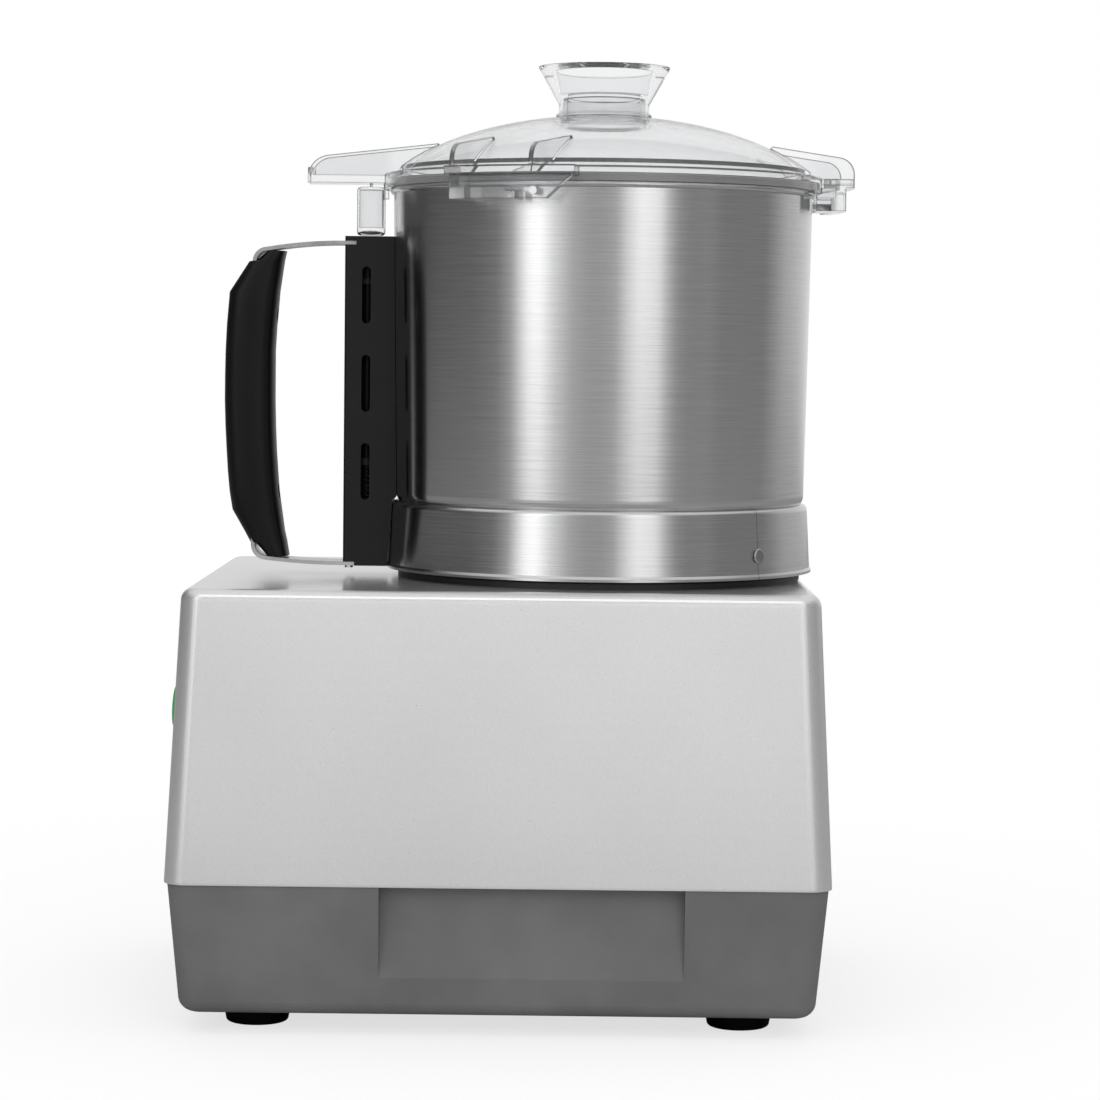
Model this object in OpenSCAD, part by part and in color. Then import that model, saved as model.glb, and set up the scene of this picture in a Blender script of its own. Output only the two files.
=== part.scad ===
// Table-top bowl cutter: motor base, lift-off bowl with two blades, and a clear locking lid.
// Sizes are in millimetres. +Z is up, +X is the rear, and the bowl's handle is at the front, -X.
// The origin lies on the table, under the middle of the whole machine.

/* [Motor base] */
// Length of the housing at its lower edge, front to rear
base_l = 333; // [320:1:350]
// Width of the housing at its lower edge, side to side
base_w = 280; // [270:1:300]
// Height of the metal housing
housing_h = 146.5; // [138:0.5:160]
// How far each side of the housing leans in over its height
housing_lean = 7; // [4:0.5:10]
// Radius of the housing's upright corners
corner_r = 12; // [10:0.5:16]
// Radius of the housing's top edge
top_edge_r = 6; // [4:0.5:9.5]
// Thickness of the housing's side walls
housing_t = 3; // [2:0.25:4]
// Thickness of the housing's deck
deck_t = 4; // [3:0.25:6]

/* [Base tray] */
// Height of the plastic tray
tray_h = 66; // [58:1:75]
// How far each side of the tray leans in towards the floor
tray_lean = 5; // [2:0.5:8]
// Step from the housing's edge in to the tray's edge
tray_step = 1.5; // [0.5:0.25:2.5]
// Wall and floor thickness of the tray
tray_t = 3; // [2.5:0.25:4]
// Radius of the tray's bottom edge
tray_edge_r = 8; // [4:0.5:9]
// Length of each lifting recess
recess_l = 152; // [120:1:180]
// Depth of each lifting recess at the top
recess_d = 12; // [8:0.5:16]
// Height over which the recess runs out
recess_h = 48; // [35:1:52]
// How far the recess lies behind the middle of the base
recess_back = 17; // [5:1:25]

/* [Feet] */
// Height of a foot under the tray
foot_h = 10; // [7:0.5:14]
// Width across a foot
foot_d = 35; // [28:1:40]
// Distance between the feet, front to rear
foot_span_x = 245; // [225:1:255]
// Distance between the feet, side to side
foot_span_y = 190; // [170:1:200]

/* [Bowl] */
// How far the bowl's axis lies behind the middle of the base
bowl_back = 50; // [42:0.5:53]
// Outer radius of the bowl under its rim
rim_r = 111; // [108:0.5:113]
// How much narrower the bowl is at the foot of its wall
bowl_taper = 2.4; // [0:0.2:4]
// Height of the bowl from the skirt's seam to the rim
bowl_h = 164.3; // [155:0.5:180]
// Sheet thickness of the bowl and its skirt
bowl_t = 1.5; // [1:0.1:2]
// Outer radius of the corner round the bowl's floor
bowl_corner_r = 8; // [6:0.5:10]
// Height of the skirt
skirt_h = 36; // [32:0.5:42]
// Outer radius of the skirt at its foot
skirt_r = 112.3; // [110.5:0.1:114]
// Gap between the housing's deck and the skirt
skirt_gap = 4.2; // [3.5:0.1:5]

/* [Handle and interlock] */
// Reach of the grip's outer face from the bowl's axis
grip_reach = 200; // [194:0.5:206]
// Depth of the grip at mid height, towards the bowl
grip_depth = 26.5; // [23:0.5:30]
// Width of the grip, side to side
grip_w = 30; // [28:0.5:36]
// Width of the handle strap
strap_w = 22; // [18:0.5:24]
// Thickness of the handle strap
strap_t = 2; // [1.5:0.1:2.4]
// Depth of the interlock column, outward from the bowl's rim
column_depth = 25; // [23:0.25:27]
// Width of the interlock column
column_w = 28; // [24:0.5:30]
// Width across the interlock rod
rod_d = 5.6; // [5:0.1:6]
// Travel of the interlock rod
rod_travel = 8; // [5:0.5:8.5]
// Width of the three slots in the column
slot_w = 4.6; // [3.5:0.1:5.2]
// Length of each slot in the column
slot_l = 30; // [24:0.5:34]
// Distance from one slot to the next
slot_pitch = 46.6; // [42:0.2:48]

/* [Lid] */
// Outer radius of the lid's rim
lid_r = 115.8; // [115.2:0.1:117]
// Wall thickness of the lid
lid_t = 3; // [2.4:0.1:3.4]
// Height of the lid's crown over its rim
crown_h = 32; // [30:0.5:40]
// Reach of the locking hooks from the bowl's axis
hook_reach = 133; // [131.5:0.25:136]
// Thickness of the lid's fins
fin_t = 2.5; // [2:0.1:3.5]
// Distance between the two fins of a hook
fin_pitch = 44; // [36:0.5:46]
// Reach of the lid's wing from the bowl's axis
wing_reach = 156; // [150:0.5:162]
// Distance between the two fins of the wing
wing_pitch = 22; // [19:0.5:26]
// Outer radius of the funnel's mouth
funnel_r = 34.7; // [32:0.1:38]
// Height of the funnel over the crown
funnel_h = 25.7; // [24:0.1:34]

/* [Blades and drive] */
// Reach of the blades from the axis
blade_reach = 99; // [85:0.5:100]
// Thickness of a blade
blade_t = 2.5; // [2:0.1:3]
// Width across the motor shaft in its bearings
shaft_d = 20; // [18:0.5:20.5]
// Width across the drive spindle above the deck
spindle_d = 18; // [15:0.5:18.5]
// Outer radius of the motor's stator
stator_r = 72; // [68:0.5:74]
// Height of the stator core
stack_h = 60; // [50:1:66]

/* [Controls] */
// Radius of the start and stop buttons
button_r = 11; // [9:0.5:12]
// How far a button stands out of its panel
button_out = 6; // [5:0.25:8]
// Travel of a button
button_travel = 3; // [2:0.25:4]
// Distance between neighbouring buttons
button_pitch = 42; // [36:1:50]

/* [Hidden] */
$fn = 96;
// Rounds inside a hull
hull_fn = 32;
// Overrun of every cut
over = 1;
// Clearance between pieces of one assembly
fit = 0.05;
// Clearance between pieces that are lifted apart or seat softly
seat_fit = 0.3;

// Levels above the table
split_z = foot_h + tray_h;
deck_z = split_z + housing_h;
skirt_z = deck_z + skirt_gap;
seam_z = skirt_z + skirt_h;
floor_drop = 3.7;
floor_z = seam_z - floor_drop;
rim_z = seam_z + bowl_h;
seal_h = 4.2;
lid_z = rim_z + seal_h;
flange_t = 3.3;
flange_z = lid_z + flange_t;
crown_z = flange_z + crown_h;

// Controls on the sloping front
draft = atan(housing_lean / housing_h);
panel_z = split_z + 78;
panel_h = 40;
panel_w = 150;
panel_t = 3;
panel_edge = 5;

// Middle of the base and of the bowl along X: the whole machine is centred on the origin
front_reach = base_l / 2 - housing_lean * (panel_z - split_z) / housing_h
    + (panel_t + button_out) * cos(draft) + button_r * sin(draft);
rear_reach = bowl_back + hook_reach;
base_x = (front_reach - rear_reach) / 2;
bowl_x = base_x + bowl_back;

// Outlines by formula

// Points of an arc round [cx, cz] from angle a0 to a1
function arc(cx, cz, r, a0, a1, n = 8) =
    [for (i = [0:n]) [cx + r * cos(a0 + (a1 - a0) * i / n), cz + r * sin(a0 + (a1 - a0) * i / n)]];

// Height of the dome's ellipse over its foot at radius r
dome_a = 125;
dome_b = 58;
function dome_top(r) = crown_z - dome_b * (1 - sqrt(1 - pow(r / dome_a, 2)));
function dome_under(r) =
    crown_z - lid_t - (dome_b - lid_t) * (1 - sqrt(1 - pow(r / (dome_a - lid_t), 2)));

// Triangles of a lofted tube of rings, closed by its first and last ring
function loft_faces(rings, sides) = concat(
    [for (j = [1:sides - 2]) [0, j, j + 1]],
    [for (i = [0:rings - 2], j = [0:sides - 1]) let (a = i * sides + j, b = i * sides + (j + 1) % sides)
        [a, a + sides, b]],
    [for (i = [0:rings - 2], j = [0:sides - 1]) let (a = i * sides + j, b = i * sides + (j + 1) % sides)
        [b, a + sides, b + sides]],
    [for (j = [1:sides - 2]) let (e = (rings - 1) * sides) [e, e + j + 1, e + j]]
);

// Common shapes

module at_bowl(angle = 0) {
    translate([bowl_x, 0, 0])
        rotate([0, 0, angle])
            children();
}

module tube(r_out, r_in, z_low, z_high) {
    translate([0, 0, z_low])
        difference() {
            cylinder(r = r_out, h = z_high - z_low);
            translate([0, 0, -over])
                cylinder(r = r_in, h = z_high - z_low + 2 * over);
        }
}

// A block of a ring between two angles
module sector(r_in, r_out, z_low, z_high, a_low, a_high) {
    rotate([0, 0, a_low])
        rotate_extrude(angle = a_high - a_low)
            translate([r_in, z_low])
                square([r_out - r_in, z_high - z_low]);
}

// A prism of an outline in radius and height, t thick
module radial_plate(outline, t) {
    translate([0, t / 2, 0])
        rotate([90, 0, 0])
            linear_extrude(t)
                polygon(outline);
}

// A round cylinder along a radius of the bowl, from r_low to r_high
module radial_pin(r, r_low, r_high, z) {
    translate([r_low, 0, z])
        rotate([0, 90, 0])
            cylinder(r = r, h = r_high - r_low);
}

module four_corners(span_x, span_y) {
    for (sx = [-1, 1], sy = [-1, 1])
        translate([base_x + sx * span_x / 2, sy * span_y / 2, 0])
            children();
}

// A rounded block that tapers from its foot to its top
module leaning_block(l_low, w_low, l_top, w_top, z_low, z_top, r, edge_low, edge_top) {
    hull() {
        for (sx = [-1, 1], sy = [-1, 1]) {
            translate([base_x + sx * (l_low / 2 - r), sy * (w_low / 2 - r), z_low])
                corner_puck(r, edge_low);
            translate([base_x + sx * (l_top / 2 - r), sy * (w_top / 2 - r), z_top])
                mirror([0, 0, 1])
                    corner_puck(r, edge_top);
        }
    }
}

// A disc whose lower edge is rounded, which a hull takes as a corner
module corner_puck(r, edge) {
    rotate_extrude($fn = 2 * hull_fn)
        if (edge > 0)
            polygon(concat([[0, 0]], arc(r - edge, edge, edge, -90, 0, hull_fn / 4), [[0, edge]]));
        else
            square([r, over]);
}

// Size of the housing and the tray at any height
housing_top_l = base_l - 2 * housing_lean;
housing_top_w = base_w - 2 * housing_lean;
tray_top_l = base_l - 2 * tray_step;
tray_top_w = base_w - 2 * tray_step;
tray_low_l = tray_top_l - 2 * tray_lean;
tray_low_w = tray_top_w - 2 * tray_lean;

// Motor base

case_screw_inset = 24;
case_screw_x = base_l - 2 * case_screw_inset;
case_screw_y = base_w - 2 * case_screw_inset;
case_boss_r = 7.5;
case_screw_r = 2.5;
case_head_r = 4.5;
case_head_h = 3.5;
case_sink = 5;
case_lug_h = 26;
case_grip_l = 18;

boss_gap = 0.5;
foot_boss_r = 9;
foot_boss_h = 14;
foot_screw_r = 2.5;
foot_head_r = 5;
foot_head_h = 3.2;
foot_grip_l = 11;

vent_w = 5;
vent_l = 70;
vent_pitch = 11;
vent_count = 7;

// The wedge of one lifting recess, grown by a wall where the tray backs it
module recess_wedge(side, grow) {
    deep = recess_d + grow;
    far = base_w;
    lean_run = tray_lean * recess_h / tray_h;
    face_y = tray_top_w / 2;
    translate([base_x + recess_back - recess_l / 2 - grow, 0, 0])
        rotate([90, 0, 90])
            linear_extrude(recess_l + 2 * grow)
                polygon([
                    [side * (face_y - deep), split_z + over],
                    [side * (face_y - deep), split_z - grow],
                    [side * (face_y - lean_run - grow), split_z - recess_h - grow],
                    [side * far, split_z - recess_h - grow],
                    [side * far, split_z + over]
                ]);
}

module tray_cavity() {
    difference() {
        leaning_block(tray_low_l - 2 * tray_t, tray_low_w - 2 * tray_t, tray_top_l - 2 * tray_t,
            tray_top_w - 2 * tray_t, foot_h + tray_t, split_z + over, corner_r - tray_t, 0, 0);
        for (side = [-1, 1])
            recess_wedge(side, tray_t);
        four_corners(foot_span_x, foot_span_y)
            cylinder(r = foot_boss_r, h = foot_h + tray_t + foot_boss_h);
        four_corners(case_screw_x, case_screw_y)
            cylinder(r = case_boss_r, h = split_z - boss_gap);
    }
}

module base_tray() {
    color("#5a5b5d")
        difference() {
            leaning_block(tray_low_l, tray_low_w, tray_top_l, tray_top_w, foot_h, split_z, corner_r,
                tray_edge_r, 0);
            tray_cavity();
            for (side = [-1, 1])
                recess_wedge(side, 0);
            four_corners(foot_span_x, foot_span_y)
                translate([0, 0, foot_h - over])
                    cylinder(r = foot_screw_r + fit, h = foot_grip_l + over);
            four_corners(case_screw_x, case_screw_y) {
                cylinder(r = case_screw_r + fit, h = split_z + over);
                cylinder(r = case_head_r + seat_fit, h = foot_h + case_sink);
            }
            for (i = [0:vent_count - 1])
                translate([bowl_x + (i - (vent_count - 1) / 2) * vent_pitch - vent_w / 2, -vent_l / 2,
                    foot_h - over])
                    cube([vent_w, vent_l, tray_t + 2 * over]);
        }
}

foot_rim = 2;
foot_lean = 1.5;
foot_bore_h = 5;

module rubber_feet() {
    color("#141414") four_corners(foot_span_x, foot_span_y)
        rotate_extrude()
            polygon(concat(
                [[foot_screw_r + fit, foot_h], [foot_screw_r + fit, foot_bore_h],
                    [foot_head_r + seat_fit, foot_bore_h], [foot_head_r + seat_fit, 0]],
                arc(foot_d / 2 - foot_lean - foot_rim, foot_rim, foot_rim, -90, 0, 5),
                [[foot_d / 2, foot_h]]
            ));
}

module foot_screws() {
    color("#8d9096") four_corners(foot_span_x, foot_span_y) {
        translate([0, 0, foot_bore_h - foot_head_h])
            cylinder(r = foot_head_r, h = foot_head_h);
        translate([0, 0, foot_bore_h])
            cylinder(r = foot_screw_r, h = foot_h - foot_bore_h + foot_grip_l - over);
    }
}

deck_hole_r = 60;
seat_screw_ring_r = 46;
seat_screw_r = 2.5;
front_hole_r = 14;
gland_up = 30;
gland_z = split_z + gland_up;
gland_y = base_w / 4;
gland_r = 8;
gland_bore_r = 4.25;

// Puts its children on the sloping front face, z outward
module on_front(y, z) {
    translate([base_x - base_l / 2 + housing_lean * (z - split_z) / housing_h, y, z])
        rotate([0, -90 + draft, 0])
            children();
}

// The same for the rear face
module on_rear(y, z) {
    translate([base_x + base_l / 2 - housing_lean * (z - split_z) / housing_h, y, z])
        rotate([0, 90 - draft, 0])
            children();
}

module housing_block() {
    leaning_block(base_l, base_w, housing_top_l, housing_top_w, split_z, deck_z, corner_r, 0, top_edge_r);
}

module housing_cavity() {
    difference() {
        leaning_block(base_l - 2 * housing_t, base_w - 2 * housing_t, housing_top_l - 2 * housing_t,
            housing_top_w - 2 * housing_t, split_z - over, deck_z - deck_t, corner_r - housing_t, 0,
            top_edge_r - housing_t);
        four_corners(case_screw_x, case_screw_y)
            translate([0, 0, split_z - 2 * over]) {
                cylinder(r = case_boss_r, h = case_lug_h + 2 * over);
            }
        for (sx = [-1, 1], sy = [-1, 1])
            translate([base_x + sx * case_screw_x / 2 - (sx < 0 ? case_screw_inset : 0),
                sy * case_screw_y / 2 - (sy < 0 ? case_screw_inset : 0), split_z - 2 * over])
                cube([case_screw_inset, case_screw_inset, case_lug_h + 2 * over]);
        for (sy = [-1, 1])
            translate([base_x + recess_back - recess_l / 2 - tray_t,
                sy > 0 ? tray_top_w / 2 - recess_d - tray_t : -base_w / 2, split_z - 2 * over])
                cube([recess_l + 2 * tray_t, (base_w - tray_top_w) / 2 + recess_d + tray_t,
                    housing_t + 2 * over]);
    }
}

module motor_housing() {
    color("#b9babb")
        difference() {
            housing_block();
            housing_cavity();
            at_bowl()
                translate([0, 0, deck_z - deck_t - over])
                    cylinder(r = spigot_r + seat_fit, h = deck_t + 2 * over);
            for (a = [45:90:315])
                at_bowl(a)
                    translate([seat_screw_ring_r, 0, deck_z - deck_t - over])
                        cylinder(r = seat_screw_r + fit, h = deck_t + 2 * over);
            four_corners(case_screw_x, case_screw_y)
                translate([0, 0, split_z - over])
                    cylinder(r = case_screw_r + fit, h = case_grip_l + over);
            for (i = [-1, 0, 1])
                on_front(i * button_pitch, panel_z)
                    translate([0, 0, -housing_t - over])
                        cylinder(r = front_hole_r, h = housing_t + 2 * over);
            for (i = [-1, 1], j = [-1, 1])
                on_front(i * (panel_w / 2 - panel_edge), panel_z + j * (panel_h / 2 - panel_edge))
                    translate([0, 0, -housing_t - over])
                        cylinder(r = panel_screw_r + fit, h = housing_t + 2 * over);
            on_rear(gland_y, gland_z)
                translate([0, 0, -housing_t - over])
                    cylinder(r = gland_r + fit, h = housing_t + 2 * over);
        }
}

module housing_screws() {
    color("#8d9096") four_corners(case_screw_x, case_screw_y) {
        translate([0, 0, foot_h + case_sink - case_head_h])
            cylinder(r = case_head_r, h = case_head_h);
        translate([0, 0, foot_h + case_sink])
            cylinder(r = case_screw_r, h = split_z - foot_h - case_sink + case_grip_l - over);
    }
}

// Seat for the bowl, on the deck

seat_flange_r = 107;
seat_flange_t = 3;
seat_r = 104;
seat_wall = 4;
seat_land = 10;
seat_web_t = 5;
hub_boss_r = 20;
spigot_r = 30;
seat_top_z = floor_z - seat_fit;
boss_drop = 4;
boss_z = floor_z - boss_drop;
seal_r = 15;
lip_h = 7;
pin_r = 2.6;
pin_drop = 24;
pin_z = seam_z - pin_drop;
pin_angles = [75.8, 157, 315.8];

module bowl_seat() {
    color("#1b1b1c") at_bowl()
        difference() {
            rotate_extrude()
                polygon([
                    [spindle_d / 2 + seal_gap, deck_z], [seat_flange_r, deck_z],
                    [seat_flange_r, deck_z + seat_flange_t], [seat_r, deck_z + seat_flange_t],
                    [seat_r, seat_top_z - edge_break], [seat_r - edge_break, seat_top_z],
                    [seat_r - seat_land, seat_top_z], [seat_r - seat_land, seat_top_z - seat_wall],
                    [seat_r - seat_wall, seat_top_z - 2 * seat_wall],
                    [seat_r - seat_wall, deck_z + seat_web_t], [hub_boss_r, deck_z + seat_web_t],
                    [hub_boss_r, boss_z], [spindle_d / 2 + seal_gap, boss_z]
                ]);
            translate([0, 0, boss_z - lip_h])
                cylinder(r = seal_r, h = lip_h + over);
            for (a = [45:90:315])
                rotate([0, 0, a])
                    translate([seat_screw_ring_r, 0, deck_z - over])
                        cylinder(r = seat_screw_r + fit, h = seat_web_t + 2 * over);
            for (a = pin_angles)
                rotate([0, 0, a]) {
                    radial_pin(pin_r + seat_fit, seat_r - seat_land - over, seat_flange_r + over, pin_z);
                    translate([seat_r - seat_land - over, -pin_r - seat_fit, pin_z])
                        cube([seat_flange_r - seat_r + seat_land + 2 * over, 2 * (pin_r + seat_fit),
                            seat_top_z - pin_z + over]);
                }
        }
}
edge_break = 1.5;
seal_gap = 1;

seat_head_r = 4.8;
seat_head_h = 2.8;
seat_grip_l = 10;

module seat_screws() {
    color("#8d9096")
        for (a = [45:90:315])
            at_bowl(a)
                translate([seat_screw_ring_r, 0, 0]) {
                    translate([0, 0, deck_z + seat_web_t])
                        cylinder(r = seat_head_r, h = seat_head_h);
                    translate([0, 0, deck_z - deck_t - seat_grip_l])
                        cylinder(r = seat_screw_r, h = seat_web_t + deck_t + seat_grip_l);
                }
}

module shaft_seal() {
    color("#242424") at_bowl()
        rotate_extrude()
            polygon([
                [spindle_d / 2 + fit, boss_z - lip_h / 2], [seal_r - fit, boss_z - lip_h],
                [seal_r - fit, boss_z], [spindle_d / 2 + fit, boss_z]
            ]);
}

// Motor, hung under the deck

motor_z = deck_z - deck_t;
bell_pad_r = 62;
bell_pad_t = 12;
bell_wall = 11;
bell_shoulder = 6;
stack_z = motor_z - 56 - stack_h;
upper_bearing_r = 23.5;
upper_bearing_h = 14;
lower_bearing_r = 20;
lower_bearing_h = 12;
lower_shaft_r = 8.5;
bearing_lip = 3;
lower_bell_h = 40;
bolt_ring_r = 66;
bolt_r = 2.2;
bolt_head_r = 4.2;
bolt_head_h = 3;
bearing_wall = 5;
upper_bearing_z = motor_z - bell_pad_t - upper_bearing_h + bearing_lip;
lower_bell_z = stack_z - lower_bell_h;
lower_bearing_z = lower_bell_z + bearing_lip;

module upper_bell() {
    color("#9b9da0") at_bowl()
        difference() {
            rotate_extrude()
                polygon([
                    [shaft_d / 2 + seal_gap, motor_z + deck_t], [spigot_r, motor_z + deck_t],
                    [spigot_r, motor_z], [bell_pad_r, motor_z], [bell_pad_r, motor_z - bell_shoulder],
                    [stator_r, motor_z - bell_pad_t], [stator_r, stack_z + stack_h],
                    [stator_r - bell_wall, stack_z + stack_h],
                    [stator_r - bell_wall, motor_z - bell_pad_t - bell_top_t],
                    [upper_bearing_r + bearing_wall, motor_z - bell_pad_t - bell_top_t],
                    [upper_bearing_r + bearing_wall, upper_bearing_z],
                    [upper_bearing_r + fit, upper_bearing_z],
                    [upper_bearing_r + fit, upper_bearing_z + upper_bearing_h],
                    [shaft_d / 2 + seal_gap, upper_bearing_z + upper_bearing_h]
                ]);
            for (a = [45:90:315])
                rotate([0, 0, a]) {
                    translate([seat_screw_ring_r, 0, motor_z - seat_grip_l - over])
                        cylinder(r = seat_screw_r + fit, h = seat_grip_l + 2 * over);
                    translate([bolt_ring_r, 0, stack_z + stack_h - over])
                        cylinder(r = bolt_r + fit, h = bolt_grip_l + over);
                }
            for (a = [0:90:270], turn = [-window_turn, 0, window_turn])
                rotate([0, 0, a + turn])
                    translate([stator_r - bell_wall - over, -bell_window_w / 2,
                        stack_z + stack_h + bell_window_h / 2])
                        cube([bell_wall + 2 * over, bell_window_w, bell_window_h]);
        }
}
bell_top_t = 4;
bolt_grip_l = 10;
bell_window_w = 12;
bell_window_h = 16;
window_turn = 18;

module lower_bell() {
    floor_low_z = lower_bell_z + bell_shoulder;
    floor_top_z = lower_bearing_z + lower_bearing_h;
    color("#9b9da0") at_bowl()
        difference() {
            rotate_extrude()
                polygon([
                    [stator_r - bell_wall, stack_z], [stator_r, stack_z],
                    [stator_r, floor_low_z], [lower_bearing_r + bearing_wall, floor_low_z],
                    [lower_bearing_r + bearing_wall, lower_bell_z],
                    [lower_shaft_r + seal_gap, lower_bell_z], [lower_shaft_r + seal_gap, lower_bearing_z],
                    [lower_bearing_r + fit, lower_bearing_z], [lower_bearing_r + fit, floor_top_z],
                    [stator_r - bell_wall, floor_top_z]
                ]);
            for (a = [45:90:315])
                rotate([0, 0, a])
                    translate([bolt_ring_r, 0, lower_bell_z])
                        cylinder(r = bolt_r + fit, h = lower_bell_h + over);
            for (a = [0:60:300])
                rotate([0, 0, a])
                    translate([lower_bearing_r + 2 * bearing_wall, -bell_window_w / 2, lower_bell_z - over])
                        cube([bell_window_l, bell_window_w, lower_bell_h]);
        }
}
bell_window_l = 22;

slot_count = 24;
stator_in_r = 42;
slot_depth = 14;
slot_width = 5.5;
slot_mouth = 2;
wire_gap = 0.3;

module stator_core() {
    color("#6f7276") at_bowl()
        translate([0, 0, stack_z])
            linear_extrude(stack_h)
                difference() {
                    circle(r = stator_r);
                    circle(r = stator_in_r);
                    for (i = [0:slot_count - 1])
                        rotate(i * 360 / slot_count)
                            translate([stator_in_r - over, -slot_mouth / 2])
                                square([slot_depth, slot_mouth]);
                    for (i = [0:slot_count - 1])
                        rotate(i * 360 / slot_count)
                            translate([stator_in_r + slot_mouth, -slot_width / 2])
                                square([slot_depth, slot_width]);
                    for (a = [45:90:315])
                        rotate(a)
                            translate([bolt_ring_r, 0])
                                circle(r = bolt_r + fit);
                }
}

end_turn_h = 20;
end_turn_r = 5;

module stator_windings() {
    mid_r = stator_in_r + slot_mouth + slot_depth / 2;
    wire_w = slot_depth - 2 * wire_gap;
    color("#b06a35") at_bowl() {
        for (z = [stack_z - end_turn_h, stack_z + stack_h])
            rotate_extrude()
                translate([mid_r - wire_w / 2, z])
                    polygon([
                        [0, 0], [wire_w, 0], [wire_w, end_turn_h - end_turn_r],
                        [wire_w, end_turn_h], [0, end_turn_h]
                    ]);
        for (i = [0:slot_count - 1])
            rotate([0, 0, i * 360 / slot_count])
                translate([mid_r - wire_w / 2, -slot_width / 2 + wire_gap, stack_z - over])
                    cube([wire_w, slot_width - 2 * wire_gap, stack_h + 2 * over]);
    }
}

module bearing(r_out, r_in, z_low, h) {
    ring = (r_out - r_in) / 4;
    at_bowl()
        rotate_extrude()
            polygon([
                [r_in, z_low], [r_in + ring, z_low], [r_in + ring, z_low + h / 10],
                [r_out - ring, z_low + h / 10], [r_out - ring, z_low], [r_out, z_low],
                [r_out, z_low + h], [r_out - ring, z_low + h], [r_out - ring, z_low + h - h / 10],
                [r_in + ring, z_low + h - h / 10], [r_in + ring, z_low + h], [r_in, z_low + h]
            ]);
}

module upper_bearing() {
    color("#a9adb3")
        bearing(upper_bearing_r, shaft_d / 2 + fit, upper_bearing_z, upper_bearing_h - fit);
}

module lower_bearing() {
    color("#a9adb3")
        bearing(lower_bearing_r, lower_shaft_r + fit, lower_bearing_z, lower_bearing_h - fit);
}

module motor_bolts() {
    foot_z = lower_bell_z + bell_shoulder;
    color("#8d9096")
        for (a = [45:90:315])
            at_bowl(a)
                translate([bolt_ring_r, 0, 0]) {
                    translate([0, 0, foot_z - bolt_head_h])
                        cylinder(r = bolt_head_r, h = bolt_head_h);
                    translate([0, 0, foot_z])
                        cylinder(r = bolt_r, h = stack_z + stack_h + bolt_grip_l - over - foot_z);
                }
}

// Turning parts of the drive

air_gap = 0.5;
rotor_r = stator_in_r - air_gap;
rotor_over = 4;
rotor_fin_h = 8;
fan_r = 58;
fan_t = 2;
fan_blade_h = 9;
fan_blade_t = 2;
fan_hub_r = 14;
fan_hub_h = 12;
fan_blades = 9;
fan_z = lower_bell_z - bell_shoulder - fan_hub_h;
step_up = 6;
hex_af = 14;
hex_h = 17;
tube_top_gap = 2;
tube_h = 74;
tube_z = floor_z + tube_h;
spindle_z = tube_z + tube_top_gap;
hex_chamfer = 1;

module drive_shaft() {
    color("#aab0b6") at_bowl() {
        translate([0, 0, fan_z])
            cylinder(r = lower_shaft_r, h = lower_bearing_z + lower_bearing_h - fan_z + step_up);
        translate([0, 0, lower_bearing_z + lower_bearing_h])
            cylinder(r = shaft_d / 2, h = motor_z - lower_bearing_z - lower_bearing_h);
        translate([0, 0, motor_z - over])
            cylinder(r = spindle_d / 2, h = spindle_z - motor_z + over);
        translate([0, 0, spindle_z - over])
            cylinder(r = hex_af / sqrt(3), h = hex_h - hex_chamfer + over, $fn = 6);
        translate([0, 0, spindle_z + hex_h - hex_chamfer - over])
            cylinder(r = hex_af / 2 - hex_chamfer, h = hex_chamfer + over);
    }
}

module rotor_core() {
    color("#84878b") at_bowl()
        difference() {
            union() {
                tube(rotor_r, shaft_d / 2 + fit, stack_z - rotor_over, stack_z + stack_h + rotor_over);
                for (i = [0:11])
                    rotate([0, 0, i * 30])
                        translate([rotor_r * 0.7, -fan_blade_t / 2, stack_z - rotor_over - rotor_fin_h])
                            cube([rotor_r * 0.22, fan_blade_t, stack_h + 2 * (rotor_over + rotor_fin_h)]);
            }
            translate([0, 0, stack_z - 2 * rotor_fin_h])
                cylinder(r = shaft_d / 2 + fit, h = stack_h + 4 * rotor_fin_h);
        }
}

module cooling_fan() {
    color("#3a3c3f") at_bowl()
        difference() {
            union() {
                translate([0, 0, fan_z])
                    cylinder(r = fan_hub_r, h = fan_hub_h);
                translate([0, 0, fan_z])
                    cylinder(r = fan_r, h = fan_t);
                for (i = [0:fan_blades - 1])
                    rotate([0, 0, i * 360 / fan_blades])
                        translate([fan_hub_r - over, -fan_blade_t / 2, fan_z])
                            cube([fan_r - fan_hub_r, fan_blade_t, fan_blade_h]);
            }
            translate([0, 0, fan_z - over])
                cylinder(r = lower_shaft_r + fit, h = fan_hub_h + 2 * over);
        }
}

// Controls

panel_screw_r = 1.5;
panel_head_r = 2.8;
panel_head_h = 1.2;
bezel_r = button_r + 2.5;
bezel_h = 2;
button_play = 0.4;
stem_r = 5;
switch_w = 24;
switch_h = 30;
switch_gap = 0.3;
plunger_r = button_r - 3;

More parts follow.
